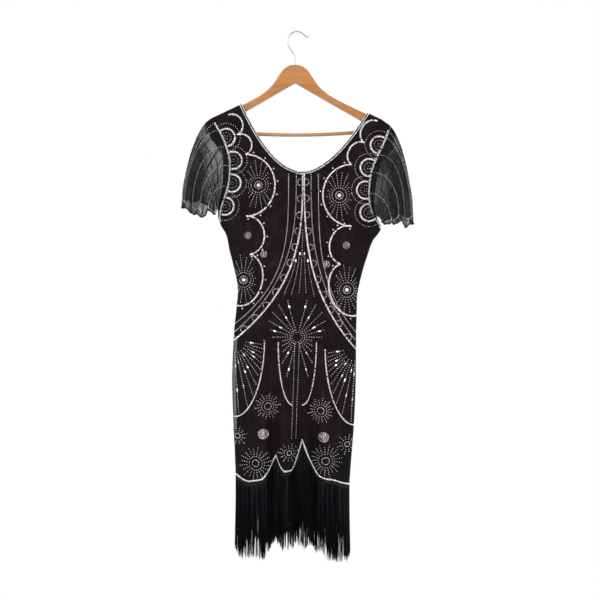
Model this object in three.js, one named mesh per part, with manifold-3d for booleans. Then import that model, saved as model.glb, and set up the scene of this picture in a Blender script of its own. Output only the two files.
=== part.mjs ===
// A flapper dress of beaded net, hanging on a wooden coat hanger. Sizes are in millimetres.
// +X is to the right as the front is seen, -Y is towards the viewer and +Z is up.
// The origin is the inside of the hook's crown, where a rail carries the hanger.

import * as THREE from "three";
import { mergeVertices } from "three/addons/utils/BufferGeometryUtils.js";
import Module from "manifold-3d";

const { lerp, clamp } = THREE.MathUtils;

// Cloth, seams and what lies on them
const CLOTH = 2; // net, beading and lining of the body together
const SLEEVE_CLOTH = 1; // one layer of net with rows of beads
const SEAM_GAP = 0.3;
const BINDING = { width: 6.5, thick: 1.2, lift: 0.85 };

// Coat hanger: the left and right arms are alike about the shank of the hook
const HANGER = {
  middle: -5.6,
  thick: 12,
  edge: 3, // radius of its rounded edges
  reach: 220, // from the shank to the end of an arm
  apex: -125, // inside corner of the two arms
  innerSlope: 0.577,
  forward: 6, // how far the ends of the arms come towards the viewer
};
// Upper edge of an arm: distance from the shank, height
const ARM_TOP = [
  { out: 0, z: -80 },
  { out: 14, z: -82 },
  { out: 27, z: -90 },
  { out: 38.9, z: -104.5 },
  { out: 51, z: -124 },
  { out: 70.5, z: -145 },
  { out: 100.4, z: -164.5 },
  { out: 161.6, z: -195 },
  { out: 220, z: -223 },
];
const HOOK = { wire: 3, bore: 3.8, sunk: 18 };
// Middle line of the hook's wire, from the head of the hanger to the tip
const HOOK_LINE = [
  { x: -5.6, z: -80 },
  { x: -5.8, z: -66 },
  { x: -8.5, z: -55 },
  { x: -16.5, z: -43 },
  { x: -23, z: -32 },
  { x: -24.2, z: -21.5 },
  { x: -20, z: -10 },
  { x: -11.5, z: -1.6 },
  { x: 0, z: 1.5 },
  { x: 10, z: -2.2 },
  { x: 18.5, z: -9.2 },
  { x: 27, z: -13.4 },
];
const BAR = { round: 9, out: 207, ends: -239.5, sag: 12.5, slack: 0.35 };

// Levels up the body: 0 is the hem, 1 the underarm and 2 the shoulder seam
const NECK_LEVEL = 1.27; // the row that meets the bottom of the neckline
const SLEEVE_LEVEL = 1.13; // the lowest row that a sleeve is sewn to
const HEM = { left: -1075, middle: -1085, right: -1103 };
const UNDERARM = { left: -464, middle: -440, right: -479 };
const NECK = { x: 14.6, z: -342.6 };
// Half width of the neckline at its top, and the power of its curve
const NECK_SIDE = {
  left: { reach: 150.7, power: 2 },
  right: { reach: 155, power: 1.72 },
};
const HEM_MIDDLE_X = -13;
const SEAM_LIFT = 4.4; // shoulder seam above the arm that carries it
const RIGHT_DROP = { from: 203, fall: 12.5 }; // past the arm's end the right shoulder falls away
const BOW = { from: 1.7, to: 1.95 }; // levels between which the rows take up the seam's bend
const NECK_PACE = 0.72; // spaces the rows evenly along the neckline

// Edge of both panels from the hem to the underarm, then of the front up its armhole
const EDGE = [
  { level: 0, left: -150.7, right: 126.4 },
  { level: 0.1, left: -153.3, right: 131 },
  { level: 0.22, left: -156.7, right: 137 },
  { level: 0.38, left: -159.2, right: 141.7 },
  { level: 0.57, left: -154.3, right: 143 },
  { level: 0.67, left: -148, right: 144.3 },
  { level: 0.74, left: -145.5, right: 146 },
  { level: 0.83, left: -156.7, right: 158 },
  { level: 0.89, left: -166, right: 169.7 },
  { level: 0.95, left: -173.7, right: 183 },
  { level: 1, left: -189.5, right: 203 },
  { level: 1.1, left: -189.5, right: 190 },
  { level: 1.2, left: -183, right: 180 },
  { level: 1.35, left: -170.5, right: 176 },
  { level: 1.55, left: -166.5, right: 182 },
  { level: 1.7, left: -173, right: 196 },
  { level: 1.85, left: -189, right: 214 },
  { level: 2, left: -211, right: 227 },
];
const BACK_WIDER = 16; // the back reaches further out at mid armhole

// How far the two panels stand out from the plane of the hanger, at their middle
const DEPTH = [
  { level: 0, front: 46, back: 42 },
  { level: 0.3, front: 42, back: 38 },
  { level: 0.6, front: 33, back: 30 },
  { level: 1, front: 25, back: 23 },
  { level: 1.27, front: 21, back: 19 },
  { level: 1.6, front: 14.5, back: 13.5 },
  { level: 2, front: 12, back: 11 },
];
// And at their edge, where the seam closes the body and the armhole opens it
const EDGE_DEPTH = [
  { level: 0, out: 0.15 },
  { level: 1, out: 0.15 },
  { level: 1.13, out: 5 },
  { level: 1.27, out: 9 },
  { level: 1.42, out: 11.5 },
  { level: 2, out: 11.5 },
];
const ROUNDNESS = 2.4; // 2 is an ellipse in plan, and more is flatter
const OVER_ARM = 11; // height in which the cloth turns over an arm
const ARMHOLE_TALL = 249; // from the underarm to the shoulder seam

// Folds of each panel: where each starts and ends, how deep it is there, and its half width
const FOLDS = {
  front: [
    { x1: 3, z1: -343, deep1: 9, x2: 6, z2: -720, deep2: 0, wide: 13 },
    { x1: -66, z1: -700, deep1: 0, x2: -54, z2: -1090, deep2: 25, wide: 13 },
    { x1: -2, z1: -800, deep1: 0, x2: -3, z2: -1090, deep2: 20, wide: 12 },
    { x1: 34, z1: -660, deep1: 0, x2: 46, z2: -1090, deep2: 20, wide: 13 },
    { x1: -122, z1: -760, deep1: 0, x2: -108, z2: -1090, deep2: 9, wide: 14 },
    { x1: 100, z1: -740, deep1: 0, x2: 88, z2: -1090, deep2: 9, wide: 14 },
  ],
  back: [
    { x1: -92, z1: -660, deep1: 0, x2: -88, z2: -1090, deep2: 20, wide: 15 },
    { x1: -26, z1: -600, deep1: 0, x2: -24, z2: -1090, deep2: 22, wide: 15 },
    { x1: 44, z1: -700, deep1: 0, x2: 40, z2: -1090, deep2: 20, wide: 14 },
    { x1: 98, z1: -780, deep1: 0, x2: 92, z2: -1090, deep2: 12, wide: 13 },
    { x1: 14, z1: -350, deep1: 6, x2: 10, z2: -560, deep2: 0, wide: 16 },
  ],
};

// The hem hangs in scallops parted by pointed notches
const HEM_LOW = {
  front: [
    { x: -151, z: -1078 },
    { x: -114, z: -1095 },
    { x: -20, z: -1074 },
    { x: 60, z: -1084 },
    { x: 127, z: -1104 },
  ],
  back: [
    { x: -151, z: -1078 },
    { x: -60, z: -1092 },
    { x: 40, z: -1090 },
    { x: 127, z: -1104 },
  ],
};
const NOTCHES = {
  front: [
    { x: -52, tall: 44, wide: 34 },
    { x: 11.7, tall: 80, wide: 42 },
  ],
  back: [
    { x: -96, tall: 58, wide: 40 },
    { x: -24, tall: 62, wide: 40 },
    { x: 48, tall: 60, wide: 40 },
  ],
};
const HEM_FADE = 0.42; // level where the rows no longer follow the notches
const HEM_SQUARE = 0.2; // keeps the cut edge of the hem level from its outer to its inner side

// Rows and columns of each panel
const LEVELS = {
  front: [
    ...Array.from({ length: 15 }, (_, row) => row / 15),
    ...[1, SLEEVE_LEVEL, NECK_LEVEL, 1.288, 1.31, 1.345, 1.4, 1.48, 1.57, 1.67, 1.78, 1.87],
    ...[1.945, 1.98, 1.994, 2],
  ],
  back: [
    ...Array.from({ length: 11 }, (_, row) => row / 11),
    ...[1, SLEEVE_LEVEL, NECK_LEVEL, 1.295, 1.34, 1.42, 1.54, 1.68, 1.82, 1.945, 1.98, 1.994, 2],
  ],
};
const COLUMNS = { front: 36, back: 26 };
const WAIST_LEVEL = { front: 7 / 15, back: 5 / 11 }; // where the skirt ends and the waist begins

// Hem of each sleeve: share of the way from its front end over the arm to its back end
const SLEEVE_HEM = {
  left: [
    { share: 0, x: -199, y: -11, z: -447 },
    { share: 0.13, x: -213, y: -21, z: -439 },
    { share: 0.26, x: -235, y: -29, z: -452 },
    { share: 0.39, x: -262, y: -26, z: -438 },
    { share: 0.5, x: -281, y: -8, z: -427 },
    { share: 0.62, x: -266, y: 16, z: -411 },
    { share: 0.75, x: -242, y: 27, z: -411 },
    { share: 0.88, x: -219, y: 21, z: -420 },
    { share: 1, x: -206, y: 12, z: -438 },
  ],
  right: [
    { share: 0, x: 203, y: -13, z: -464 },
    { share: 0.13, x: 224, y: -23, z: -470 },
    { share: 0.26, x: 244, y: -29, z: -466 },
    { share: 0.39, x: 266, y: -24, z: -474 },
    { share: 0.5, x: 281, y: -6, z: -466 },
    { share: 0.62, x: 268, y: 17, z: -452 },
    { share: 0.75, x: 245, y: 26, z: -450 },
    { share: 0.88, x: 223, y: 20, z: -455 },
    { share: 1, x: 208, y: 12, z: -462 },
  ],
};
const SLEEVE = { rows: 7, waves: 6.5, waveY: 6.5, waveZ: 3, crown: 38, hang: 0.42 };

const FRINGE = { band: 8, long: 186, uneven: 16, thick: 1.6, gap: 0.6, taper: 0.7, sway: 2 };

// Glass stones at the middle of the sunbursts on the front
const STONE = { round: 10, tall: 3.4, lift: 0.8 };
const STONES = [
  { name: "stone_chest_left", x: -94.3, z: -376 },
  { name: "stone_chest_right", x: 101.3, z: -400.5 },
  { name: "stone_waist_left", x: -130, z: -605 },
  { name: "stone_waist_right", x: 119, z: -629 },
];

const COLOURS = {
  net: new THREE.MeshStandardMaterial({ color: 0x17151a, roughness: 0.75 }),
  sheer: new THREE.MeshStandardMaterial({ color: 0x2b292c, roughness: 0.8 }),
  fringe: new THREE.MeshStandardMaterial({ color: 0x101116, roughness: 0.45 }),
  silver: new THREE.MeshStandardMaterial({ color: 0xc9c9cc, roughness: 0.3, metalness: 0.6 }),
  glass: new THREE.MeshStandardMaterial({ color: 0xe4e6ea, roughness: 0.1 }),
  wood: new THREE.MeshStandardMaterial({ color: 0xc98f4e, roughness: 0.4 }),
  steel: new THREE.MeshStandardMaterial({ color: 0xb5b6b8, roughness: 0.3, metalness: 1 }),
};

const part = new THREE.Group();

function add(name, geometry, material) {
  const mesh = new THREE.Mesh(geometry, material);
  mesh.name = name;
  part.add(mesh);
}

const ease = (share) => share ** 2 * (3 - 2 * share);

// A number between 0 and 1 that looks random and is the same each time.
function chance(seed) {
  const wave = Math.sin(seed * 127.1 + 11.7) * 43758.5453;
  return wave - Math.floor(wave);
}

// Value of a table's column at a place between its rows, on a smooth curve through them.
function along(table, key, column, place) {
  const last = table.length - 1;
  let row = 0;
  while (row < last - 1 && place > table[row + 1][key]) row += 1;
  const slopeAt = (at) => {
    const before = table[Math.max(at - 1, 0)];
    const after = table[Math.min(at + 1, last)];
    return (after[column] - before[column]) / (after[key] - before[key]);
  };
  const span = table[row + 1][key] - table[row][key];
  const t = clamp((place - table[row][key]) / span, 0, 1);
  const bend = t * (1 - t) * span * ((1 - t) * slopeAt(row) - t * slopeAt(row + 1));
  return lerp(table[row][column], table[row + 1][column], ease(t)) + bend;
}

// The same on straight lines from row to row.
function straightAlong(table, key, column, place) {
  let row = 0;
  while (row < table.length - 2 && place > table[row + 1][key]) row += 1;
  const span = table[row + 1][key] - table[row][key];
  const t = clamp((place - table[row][key]) / span, 0, 1);
  return lerp(table[row][column], table[row + 1][column], t);
}

// Wall of cloth under a grid of points, grid[row][column], that lie on its outer face.
// Equal points are one, has(row, column) leaves squares out, and lay(normal, row, column) turns
// the normal at a seam so that the two walls there end in the same plane. insets, where given,
// holds the step from each outer point to the inner one.
function clothWall(grid, thick, { has = () => true, lay = () => {}, flip = false, insets } = {}) {
  const outer = [];
  const numbers = new Map();
  const places = [];
  const number = grid.map((line, row) =>
    line.map((point, column) => {
      const key = point.toArray().map((value) => Math.round(value * 1e4)).join();
      if (!numbers.has(key)) {
        numbers.set(key, outer.length);
        outer.push(point);
        places.push([row, column]);
      }
      return numbers.get(key);
    }),
  );

  const faces = [];
  for (let row = 0; row < grid.length - 1; row += 1) {
    for (let column = 0; column < grid[row].length - 1; column += 1) {
      if (!has(row, column)) continue;
      const corners = [
        number[row][column],
        number[row][column + 1],
        number[row + 1][column + 1],
        number[row + 1][column],
      ];
      if (flip) corners.reverse();
      const [a, b, c, d] = corners;
      if (new Set([a, b, c]).size === 3) faces.push([a, b, c]);
      if (new Set([a, c, d]).size === 3) faces.push([a, c, d]);
    }
  }

  const normals = outer.map(() => new THREE.Vector3());
  for (const [a, b, c] of faces) {
    const side = outer[b].clone().sub(outer[a]);
    const turn = side.cross(outer[c].clone().sub(outer[a]));
    for (const corner of [a, b, c]) normals[corner].add(turn);
  }
  const steps = outer.map((_, index) => {
    const [row, column] = places[index];
    if (insets) return insets[row][column];
    const normal = normals[index].normalize();
    lay(normal, row, column);
    return normal.normalize().multiplyScalar(-thick);
  });
  const inner = outer.map((point, index) => point.clone().add(steps[index]));

  const count = outer.length;
  const triangles = [];
  const edges = new Map();
  for (const [a, b, c] of faces) {
    triangles.push([a, b, c], [a + count, c + count, b + count]);
    for (const [from, to] of [[a, b], [b, c], [c, a]]) {
      if (!edges.delete(`${to},${from}`)) edges.set(`${from},${to}`, [from, to]);
    }
  }
  for (const [from, to] of edges.values()) {
    triangles.push([to, from, from + count], [to, from + count, to + count]);
  }
  const geometry = new THREE.BufferGeometry();
  const points = [...outer, ...inner];
  const values = points.flatMap((point) => point.toArray());
  geometry.setAttribute("position", new THREE.Float32BufferAttribute(values, 3));
  geometry.setIndex(triangles.flat());
  return { geometry, steps: number.map((line) => line.map((index) => steps[index])) };
}

// Hanger

const armTop = (x) => along(ARM_TOP, "out", "z", Math.abs(x - HANGER.middle));
const armForward = (x) => HANGER.forward * (Math.abs(x - HANGER.middle) / HANGER.reach) ** 2;

function bendForward(geometry) {
  const position = geometry.getAttribute("position");
  for (let index = 0; index < position.count; index += 1) {
    const forward = armForward(position.getX(index));
    position.setY(index, position.getY(index) - forward);
  }
  return geometry;
}

function armOutline() {
  const steps = 22;
  const half = Array.from({ length: steps + 1 }, (_, step) => {
    const out = (HANGER.reach - 14) * (step / steps);
    return new THREE.Vector2(out, along(ARM_TOP, "out", "z", out));
  });
  const below = (out) => HANGER.apex - HANGER.innerSlope * out;
  const high = armTop(HANGER.middle + HANGER.reach);
  half.push(new THREE.Vector2(HANGER.reach - 7, high - 0.5));
  half.push(new THREE.Vector2(HANGER.reach - 2, high - 4.5));
  half.push(new THREE.Vector2(HANGER.reach, high - 11));
  half.push(new THREE.Vector2(HANGER.reach, below(HANGER.reach) + 8));
  half.push(new THREE.Vector2(HANGER.reach - 3, below(HANGER.reach) + 2));
  for (const out of [212, 160, 106, 53]) half.push(new THREE.Vector2(out, below(out)));
  const right = half.map((point) => new THREE.Vector2(HANGER.middle + point.x, point.y));
  const left = half.slice(1).map((point) => new THREE.Vector2(HANGER.middle - point.x, point.y));
  right.push(new THREE.Vector2(HANGER.middle, HANGER.apex));
  return [...right, ...left.reverse()];
}

function plainCopy(geometry) {
  const copy = geometry.clone();
  copy.deleteAttribute("normal");
  copy.deleteAttribute("uv");
  return mergeVertices(copy, 1e-3);
}

const wasm = await Module();
wasm.setup();

function solidOf(geometry) {
  const merged = plainCopy(geometry);
  return new wasm.Manifold(
    new wasm.Mesh({
      numProp: 3,
      vertProperties: merged.getAttribute("position").array,
      triVerts: new Uint32Array(merged.index.array),
    }),
  );
}

function geometryOf(solid) {
  const { vertProperties, triVerts } = solid.getMesh();
  const geometry = new THREE.BufferGeometry();
  geometry.setAttribute("position", new THREE.BufferAttribute(vertProperties, 3));
  geometry.setIndex(new THREE.BufferAttribute(triVerts, 1));
  return geometry;
}

// Round bar that follows a line of points; its section is a polygon of the given sides.
function rod(points, radius, sides, steps, smooth) {
  const curve = smooth
    ? new THREE.CatmullRomCurve3(points, false, "centripetal")
    : new THREE.LineCurve3(points[0], points[1]);
  const section = new THREE.Shape(
    Array.from({ length: sides }, (_, side) => {
      const angle = (side / sides) * 2 * Math.PI;
      return new THREE.Vector2(radius * Math.cos(angle), radius * Math.sin(angle));
    }),
  );
  return new THREE.ExtrudeGeometry(section, { steps, extrudePath: curve, curveSegments: 1 });
}

const barHeight = (x) => {
  const share = (x - HANGER.middle) / BAR.out;
  return BAR.ends - BAR.sag * (1 - share ** 2);
};
const barPoints = (from, to, count) =>
  Array.from({ length: count + 1 }, (_, step) => {
    const x = lerp(from, to, step / count);
    return new THREE.Vector3(x, -armForward(HANGER.middle + BAR.out), barHeight(x));
  });

function makeHanger() {
  const flat = HANGER.thick - 2 * HANGER.edge;
  const body = new THREE.ExtrudeGeometry(new THREE.Shape(armOutline()), {
    depth: flat,
    bevelThickness: HANGER.edge,
    bevelSize: HANGER.edge,
    bevelOffset: -HANGER.edge,
    bevelSegments: 2,
    steps: 1,
  });
  body.rotateX(Math.PI / 2);
  body.translate(0, flat / 2, 0);
  let solid = solidOf(bendForward(body));
  const low = new THREE.Vector3(HANGER.middle, 0, -80 - HOOK.sunk - 1);
  const high = new THREE.Vector3(HANGER.middle, 0, -70);
  solid = solid.subtract(solidOf(rod([low, high], HOOK.bore / 2, 12, 1, false)));
  for (const hand of [-1, 1]) {
    const end = HANGER.middle + hand * BAR.out;
    const points = barPoints(end + hand * 0.5, end - hand * 25, 3);
    solid = solid.subtract(solidOf(rod(points, BAR.round / 2 + BAR.slack, 12, 3, true)));
  }
  add("hanger_body", geometryOf(solid), COLOURS.wood);

  const line = barPoints(HANGER.middle - BAR.out, HANGER.middle + BAR.out, 12);
  add("trouser_bar", rod(line, BAR.round / 2, 12, 14, true), COLOURS.wood);

  const wire = HOOK_LINE.map((row) => new THREE.Vector3(row.x, 0, row.z));
  wire.unshift(new THREE.Vector3(HANGER.middle, 0, -80 - HOOK.sunk));
  add("hook", rod(wire, HOOK.wire / 2, 8, 30, true), COLOURS.steel);
}

// Panels

const seamHeight = (x) => {
  const past = Math.max(0, x - RIGHT_DROP.from) / (EDGE.at(-1).right - RIGHT_DROP.from);
  return armTop(x) + SEAM_LIFT - RIGHT_DROP.fall * past ** 2;
};

function edgeAt(panel, level, hand) {
  const outward = hand === "left" ? -1 : 1;
  const wider = panel === "back" && level > 1 ? BACK_WIDER * Math.sin(Math.PI * (level - 1)) : 0;
  const x = along(EDGE, "level", hand, level) + outward * wider;
  const top = seamHeight(EDGE.at(-1)[hand]);
  const z =
    level < 1
      ? lerp(HEM[hand], UNDERARM[hand], level)
      : lerp(UNDERARM[hand], top, level - 1);
  return { x, z };
}

function innerAt(level, hand) {
  if (level <= NECK_LEVEL) {
    const z =
      level < 1
        ? lerp(HEM.middle, UNDERARM.middle, level)
        : lerp(UNDERARM.middle, NECK.z, (level - 1) / (NECK_LEVEL - 1));
    return { x: lerp(HEM_MIDDLE_X, NECK.x, (z - HEM.middle) / (NECK.z - HEM.middle)), z };
  }
  const { reach, power } = NECK_SIDE[hand];
  const share = ((level - NECK_LEVEL) / (2 - NECK_LEVEL)) ** NECK_PACE;
  const x = NECK.x + (hand === "left" ? -reach : reach) * share;
  const corner = NECK.x + (hand === "left" ? -reach : reach);
  return { x, z: lerp(NECK.z, seamHeight(corner), share ** power) };
}

const hemHeight = (panel, x) => {
  const low = along(HEM_LOW[panel], "x", "z", x);
  return NOTCHES[panel].reduce(
    (z, notch) => z + notch.tall * Math.max(0, 1 - Math.abs(x - notch.x) / notch.wide) ** 1.5,
    low,
  );
};

function foldDepth(panel, x, z) {
  let depth = 0;
  for (const fold of FOLDS[panel]) {
    const share = clamp((fold.z1 - z) / (fold.z1 - fold.z2), 0, 1);
    const off = (x - lerp(fold.x1, fold.x2, share)) / fold.wide;
    const shape = (1 - off ** 2 / 2) * Math.exp(-(off ** 2) / 2);
    depth += lerp(fold.deep1, fold.deep2, share) * shape;
  }
  return depth;
}

// Point of a panel's outer face. across runs from -1 at the left edge to 1 at the right one.
function panelPoint(panel, level, across) {
  const hand = across < 0 ? "left" : "right";
  const edge = edgeAt(panel, level, hand);
  const inner = innerAt(level, hand);
  const inward = 1 - Math.abs(across);
  const x = lerp(edge.x, inner.x, inward);
  let z = lerp(edge.z, inner.z, inward);
  const offHem = hemHeight(panel, x) - lerp(HEM[hand], HEM.middle, inward);
  z += offHem * Math.max(0, 1 - level / HEM_FADE) ** 2;
  const outerEnd = EDGE.at(-1)[hand];
  const innerEnd = innerAt(2, hand).x;
  const chord = lerp(seamHeight(outerEnd), seamHeight(innerEnd), inward);
  const bow = seamHeight(lerp(outerEnd, innerEnd, inward)) - chord;
  z += bow * ease(clamp((level - BOW.from) / (BOW.to - BOW.from), 0, 1));

  const closed = straightAlong(EDGE_DEPTH, "level", "out", level);
  const deep = along(DEPTH, "level", panel, level);
  const round = (1 - (1 - inward) ** ROUNDNESS) ** (1 / ROUNDNESS);
  let out = closed + (deep - closed) * round;
  out -= foldDepth(panel, x, z) * (1 - (1 - inward) ** 6);
  const below = (2 - level) * ARMHOLE_TALL;
  const turn = Math.sqrt(1 - (1 - clamp(below / OVER_ARM, 0, 1)) ** 2);
  out = lerp(SEAM_GAP / 2, out, turn);
  const middle = -armForward(x) * ease(clamp(level - 1, 0, 1));
  return new THREE.Vector3(x, panel === "front" ? middle - out : middle + out, z);
}

// Columns of a panel, evenly spaced along the cloth at the hem, with one at each notch.
function columnsOf(panel) {
  const samples = 400;
  const places = Array.from({ length: samples + 1 }, (_, step) => (step / samples) * 2 - 1);
  const lengths = [0];
  for (let step = 1; step <= samples; step += 1) {
    const before = panelPoint(panel, 0, places[step - 1]);
    const after = panelPoint(panel, 0, places[step]);
    lengths.push(lengths[step - 1] + Math.hypot(after.x - before.x, after.y - before.y));
  }
  const total = lengths[samples];
  const placeAt = (length) => {
    const after = Math.max(1, lengths.findIndex((value) => value >= length - 1e-9));
    const share = (length - lengths[after - 1]) / (lengths[after] - lengths[after - 1]);
    return lerp(places[after - 1], places[after], share);
  };
  const half = COLUMNS[panel] / 2;
  const middle = lengths[samples / 2];
  const columns = [];
  for (let step = 0; step < half; step += 1) columns.push(placeAt((middle * step) / half));
  columns.push(-1e-9, 1e-9);
  for (let step = 1; step <= half; step += 1) {
    columns.push(placeAt(middle + ((total - middle) * step) / half));
  }
  for (const notch of NOTCHES[panel]) {
    const offBy = (across) => Math.abs(panelPoint(panel, 0, across).x - notch.x);
    const nearest = columns.reduce((best, across) => (offBy(across) < offBy(best) ? across : best));
    const finer = places.reduce((best, across) => (offBy(across) < offBy(best) ? across : best));
    if (Math.abs(nearest) > 1e-6) columns[columns.indexOf(nearest)] = finer;
  }
  return columns;
}

function panelGrid(panel) {
  const columns = columnsOf(panel);
  return LEVELS[panel].map((level) =>
    columns.map((across) => {
      const middle = Math.abs(across) < 1e-6;
      return panelPoint(panel, level, middle && level <= NECK_LEVEL ? 0 : across);
    }),
  );
}

// A panel is a skirt, a waist and a yoke, one above the other. Returns the steps at the hem.
function makePanel(panel, grid) {
  const levels = LEVELS[panel];
  const last = grid[0].length - 1;
  const top = levels.length - 1;
  const neckGap = grid[0].length / 2 - 1;
  const has = (row, column) => column !== neckGap;
  const pieces = [
    { name: "skirt", low: 0, high: levels.indexOf(WAIST_LEVEL[panel]) },
    { name: "waist", low: levels.indexOf(WAIST_LEVEL[panel]), high: levels.indexOf(1) },
    { name: "yoke", low: levels.indexOf(1), high: top },
  ];
  const made = pieces.map(({ name, low, high }) => {
    const rows = grid.slice(low, high + 1).map((line) => line.map((point) => point.clone()));
    if (low > 0) for (const point of rows[0]) point.z += SEAM_GAP / 2;
    if (high < top) for (const point of rows.at(-1)) point.z -= SEAM_GAP / 2;
    const lay = (normal, row, column) => {
      const level = levels[low + row];
      const atSeam = level === 2 || (level <= 1 && (column === 0 || column === last));
      if (atSeam) normal.y = 0;
      if (row === 0 || (low + row === high && high < top)) normal.z = 0;
      if (level === 0 && column > 1 && column < last - 1) normal.x *= HEM_SQUARE;
    };
    const { geometry, steps } = clothWall(rows, CLOTH, { has, lay, flip: panel === "back" });
    add(`${panel}_${name}`, geometry, COLOURS.net);
    return steps;
  });
  return made[0];
}

// Place on a panel's outer face over or under (x, z), moved out by a lift.
function layOn(grid, x, z, lift) {
  const outward = grid[0][1].y < 0 ? -1 : 1;
  for (let row = 0; row < grid.length - 1; row += 1) {
    for (let column = 0; column < grid[0].length - 1; column += 1) {
      const [a, b] = [grid[row][column], grid[row][column + 1]];
      const [d, c] = [grid[row + 1][column], grid[row + 1][column + 1]];
      for (const [p, q, r] of outward < 0 ? [[a, b, c], [a, c, d]] : [[b, a, d], [b, d, c]]) {
        const flat = (q.x - p.x) * (r.z - p.z) - (r.x - p.x) * (q.z - p.z);
        if (Math.abs(flat) < 1e-6) continue;
        const toQ = ((x - p.x) * (r.z - p.z) - (r.x - p.x) * (z - p.z)) / flat;
        const toR = ((q.x - p.x) * (z - p.z) - (x - p.x) * (q.z - p.z)) / flat;
        if (toQ < -1e-4 || toR < -1e-4 || toQ + toR > 1.0001) continue;
        const point = new THREE.Vector3(x, p.y + toQ * (q.y - p.y) + toR * (r.y - p.y), z);
        const normal = q.clone().sub(p).cross(r.clone().sub(p)).normalize();
        if (normal.y * outward < 0) normal.negate();
        return { point: point.addScaledVector(normal, lift), normal };
      }
    }
  }
  return null;
}

// Binding of the neckline: a band on the panel along its neck edge.
function makeBinding(panel, grid) {
  const neckRow = LEVELS[panel].indexOf(NECK_LEVEL);
  const middle = grid[0].length / 2 - 1;
  const rows = grid.slice(neckRow).map((line) => [line[middle], line[middle + 1]]);
  const corners = [
    ...rows.map((pair) => pair[0]).reverse(),
    ...rows.slice(1).map((pair) => pair[1]),
  ];
  const edge = [corners[0]];
  for (const corner of corners.slice(1)) {
    const from = edge.at(-1);
    const pieces = corner.z < NECK.z + 20 ? Math.ceil(from.distanceTo(corner) / 6) : 1;
    for (let piece = 1; piece <= pieces; piece += 1) {
      edge.push(from.clone().lerp(corner, piece / pieces));
    }
  }
  const outward = panel === "front" ? -1 : 1;
  const seams = [0, edge.length - 1];
  const band = edge.map((point, index) => {
    const before = edge[Math.max(index - 1, 0)];
    const after = edge[Math.min(index + 1, edge.length - 1)];
    const run = new THREE.Vector2(after.x - before.x, after.z - before.z).normalize();
    const away = new THREE.Vector2(run.y, -run.x);
    return [0.4, BINDING.width].map((far) => {
      const x = point.x + away.x * far;
      const z = point.z + away.y * far;
      const seat = layOn(grid, x, z, BINDING.lift + BINDING.thick);
      if (seat) return seat.point;
      const lifted = new THREE.Vector3(x, point.y, z);
      if (seams.includes(index)) lifted.z += BINDING.lift + BINDING.thick;
      else lifted.y += outward * (BINDING.lift + BINDING.thick);
      return lifted;
    });
  });
  const grid2 = [band.map((pair) => pair[1]), band.map((pair) => pair[0])];
  const lay = (normal, row, column) => {
    if (seams.includes(column)) normal.y = 0;
  };
  const { geometry } = clothWall(grid2, BINDING.thick, { lay, flip: panel === "back" });
  add(`neck_binding_${panel}`, geometry, COLOURS.silver);
}

// Sleeve: a fluted net sheet from the armhole edges of the two panels to its own wavy hem.
function makeSleeve(hand, grids) {
  const outward = hand === "left" ? -1 : 1;
  const edges = ["front", "back"].map((panel) => {
    const first = LEVELS[panel].indexOf(SLEEVE_LEVEL);
    return grids[panel].slice(first).map((line) => {
      const edge = line.at(hand === "left" ? 0 : -1);
      const next = line.at(hand === "left" ? 1 : -2);
      const away = edge.clone().sub(next).normalize();
      return { point: edge.clone().addScaledVector(away, SEAM_GAP + 0.15), away };
    });
  });
  const top = {
    point: edges[0].at(-1).point.clone().lerp(edges[1].at(-1).point, 0.5),
    away: edges[0].at(-1).away,
  };
  const round = [...edges[0].slice(0, -1), top, ...edges[1].slice(0, -1).reverse()];
  const seam = [];
  for (let index = 0; index < round.length - 1; index += 1) {
    const [from, to] = [round[index], round[index + 1]];
    seam.push(from);
    const long = from.point.distanceTo(to.point) > 9;
    if (long) {
      seam.push({
        point: from.point.clone().lerp(to.point, 0.5),
        away: from.away.clone().add(to.away).normalize(),
      });
    }
  }
  seam.push(round.at(-1));

  const lines = seam.map(({ point, away }, index) => {
    const share = index / (seam.length - 1);
    const hem = new THREE.Vector3(
      along(SLEEVE_HEM[hand], "share", "x", share),
      along(SLEEVE_HEM[hand], "share", "y", share),
      along(SLEEVE_HEM[hand], "share", "z", share),
    );
    const reach = point.distanceTo(hem);
    const start = point.clone().addScaledVector(away, Math.min(SLEEVE.crown, reach * 0.3));
    const finish = hem.clone().add(new THREE.Vector3(0, 0, SLEEVE.hang * (point.z - hem.z)));
    const curve = new THREE.CubicBezierCurve3(point, start, finish, hem);
    const wave = 2 * Math.PI * SLEEVE.waves * share;
    const side = Math.sin(Math.PI * share);
    return Array.from({ length: SLEEVE.rows + 1 }, (_, row) => {
      const down = row / SLEEVE.rows;
      const place = curve.getPoint(down);
      const swing = down ** 1.6 * Math.min(1, reach / 90);
      place.y += SLEEVE.waveY * swing * Math.sin(wave);
      place.x += outward * SLEEVE.waveY * 0.5 * swing * side * Math.cos(wave);
      place.z += SLEEVE.waveZ * swing * Math.cos(wave + 0.6);
      return place;
    });
  });
  const grid = lines[0].map((_, row) => lines.map((line) => line[row]));
  const { geometry } = clothWall(grid, SLEEVE_CLOTH, { flip: hand === "left" });
  add(`sleeve_${hand}`, geometry, COLOURS.sheer);
}

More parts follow.
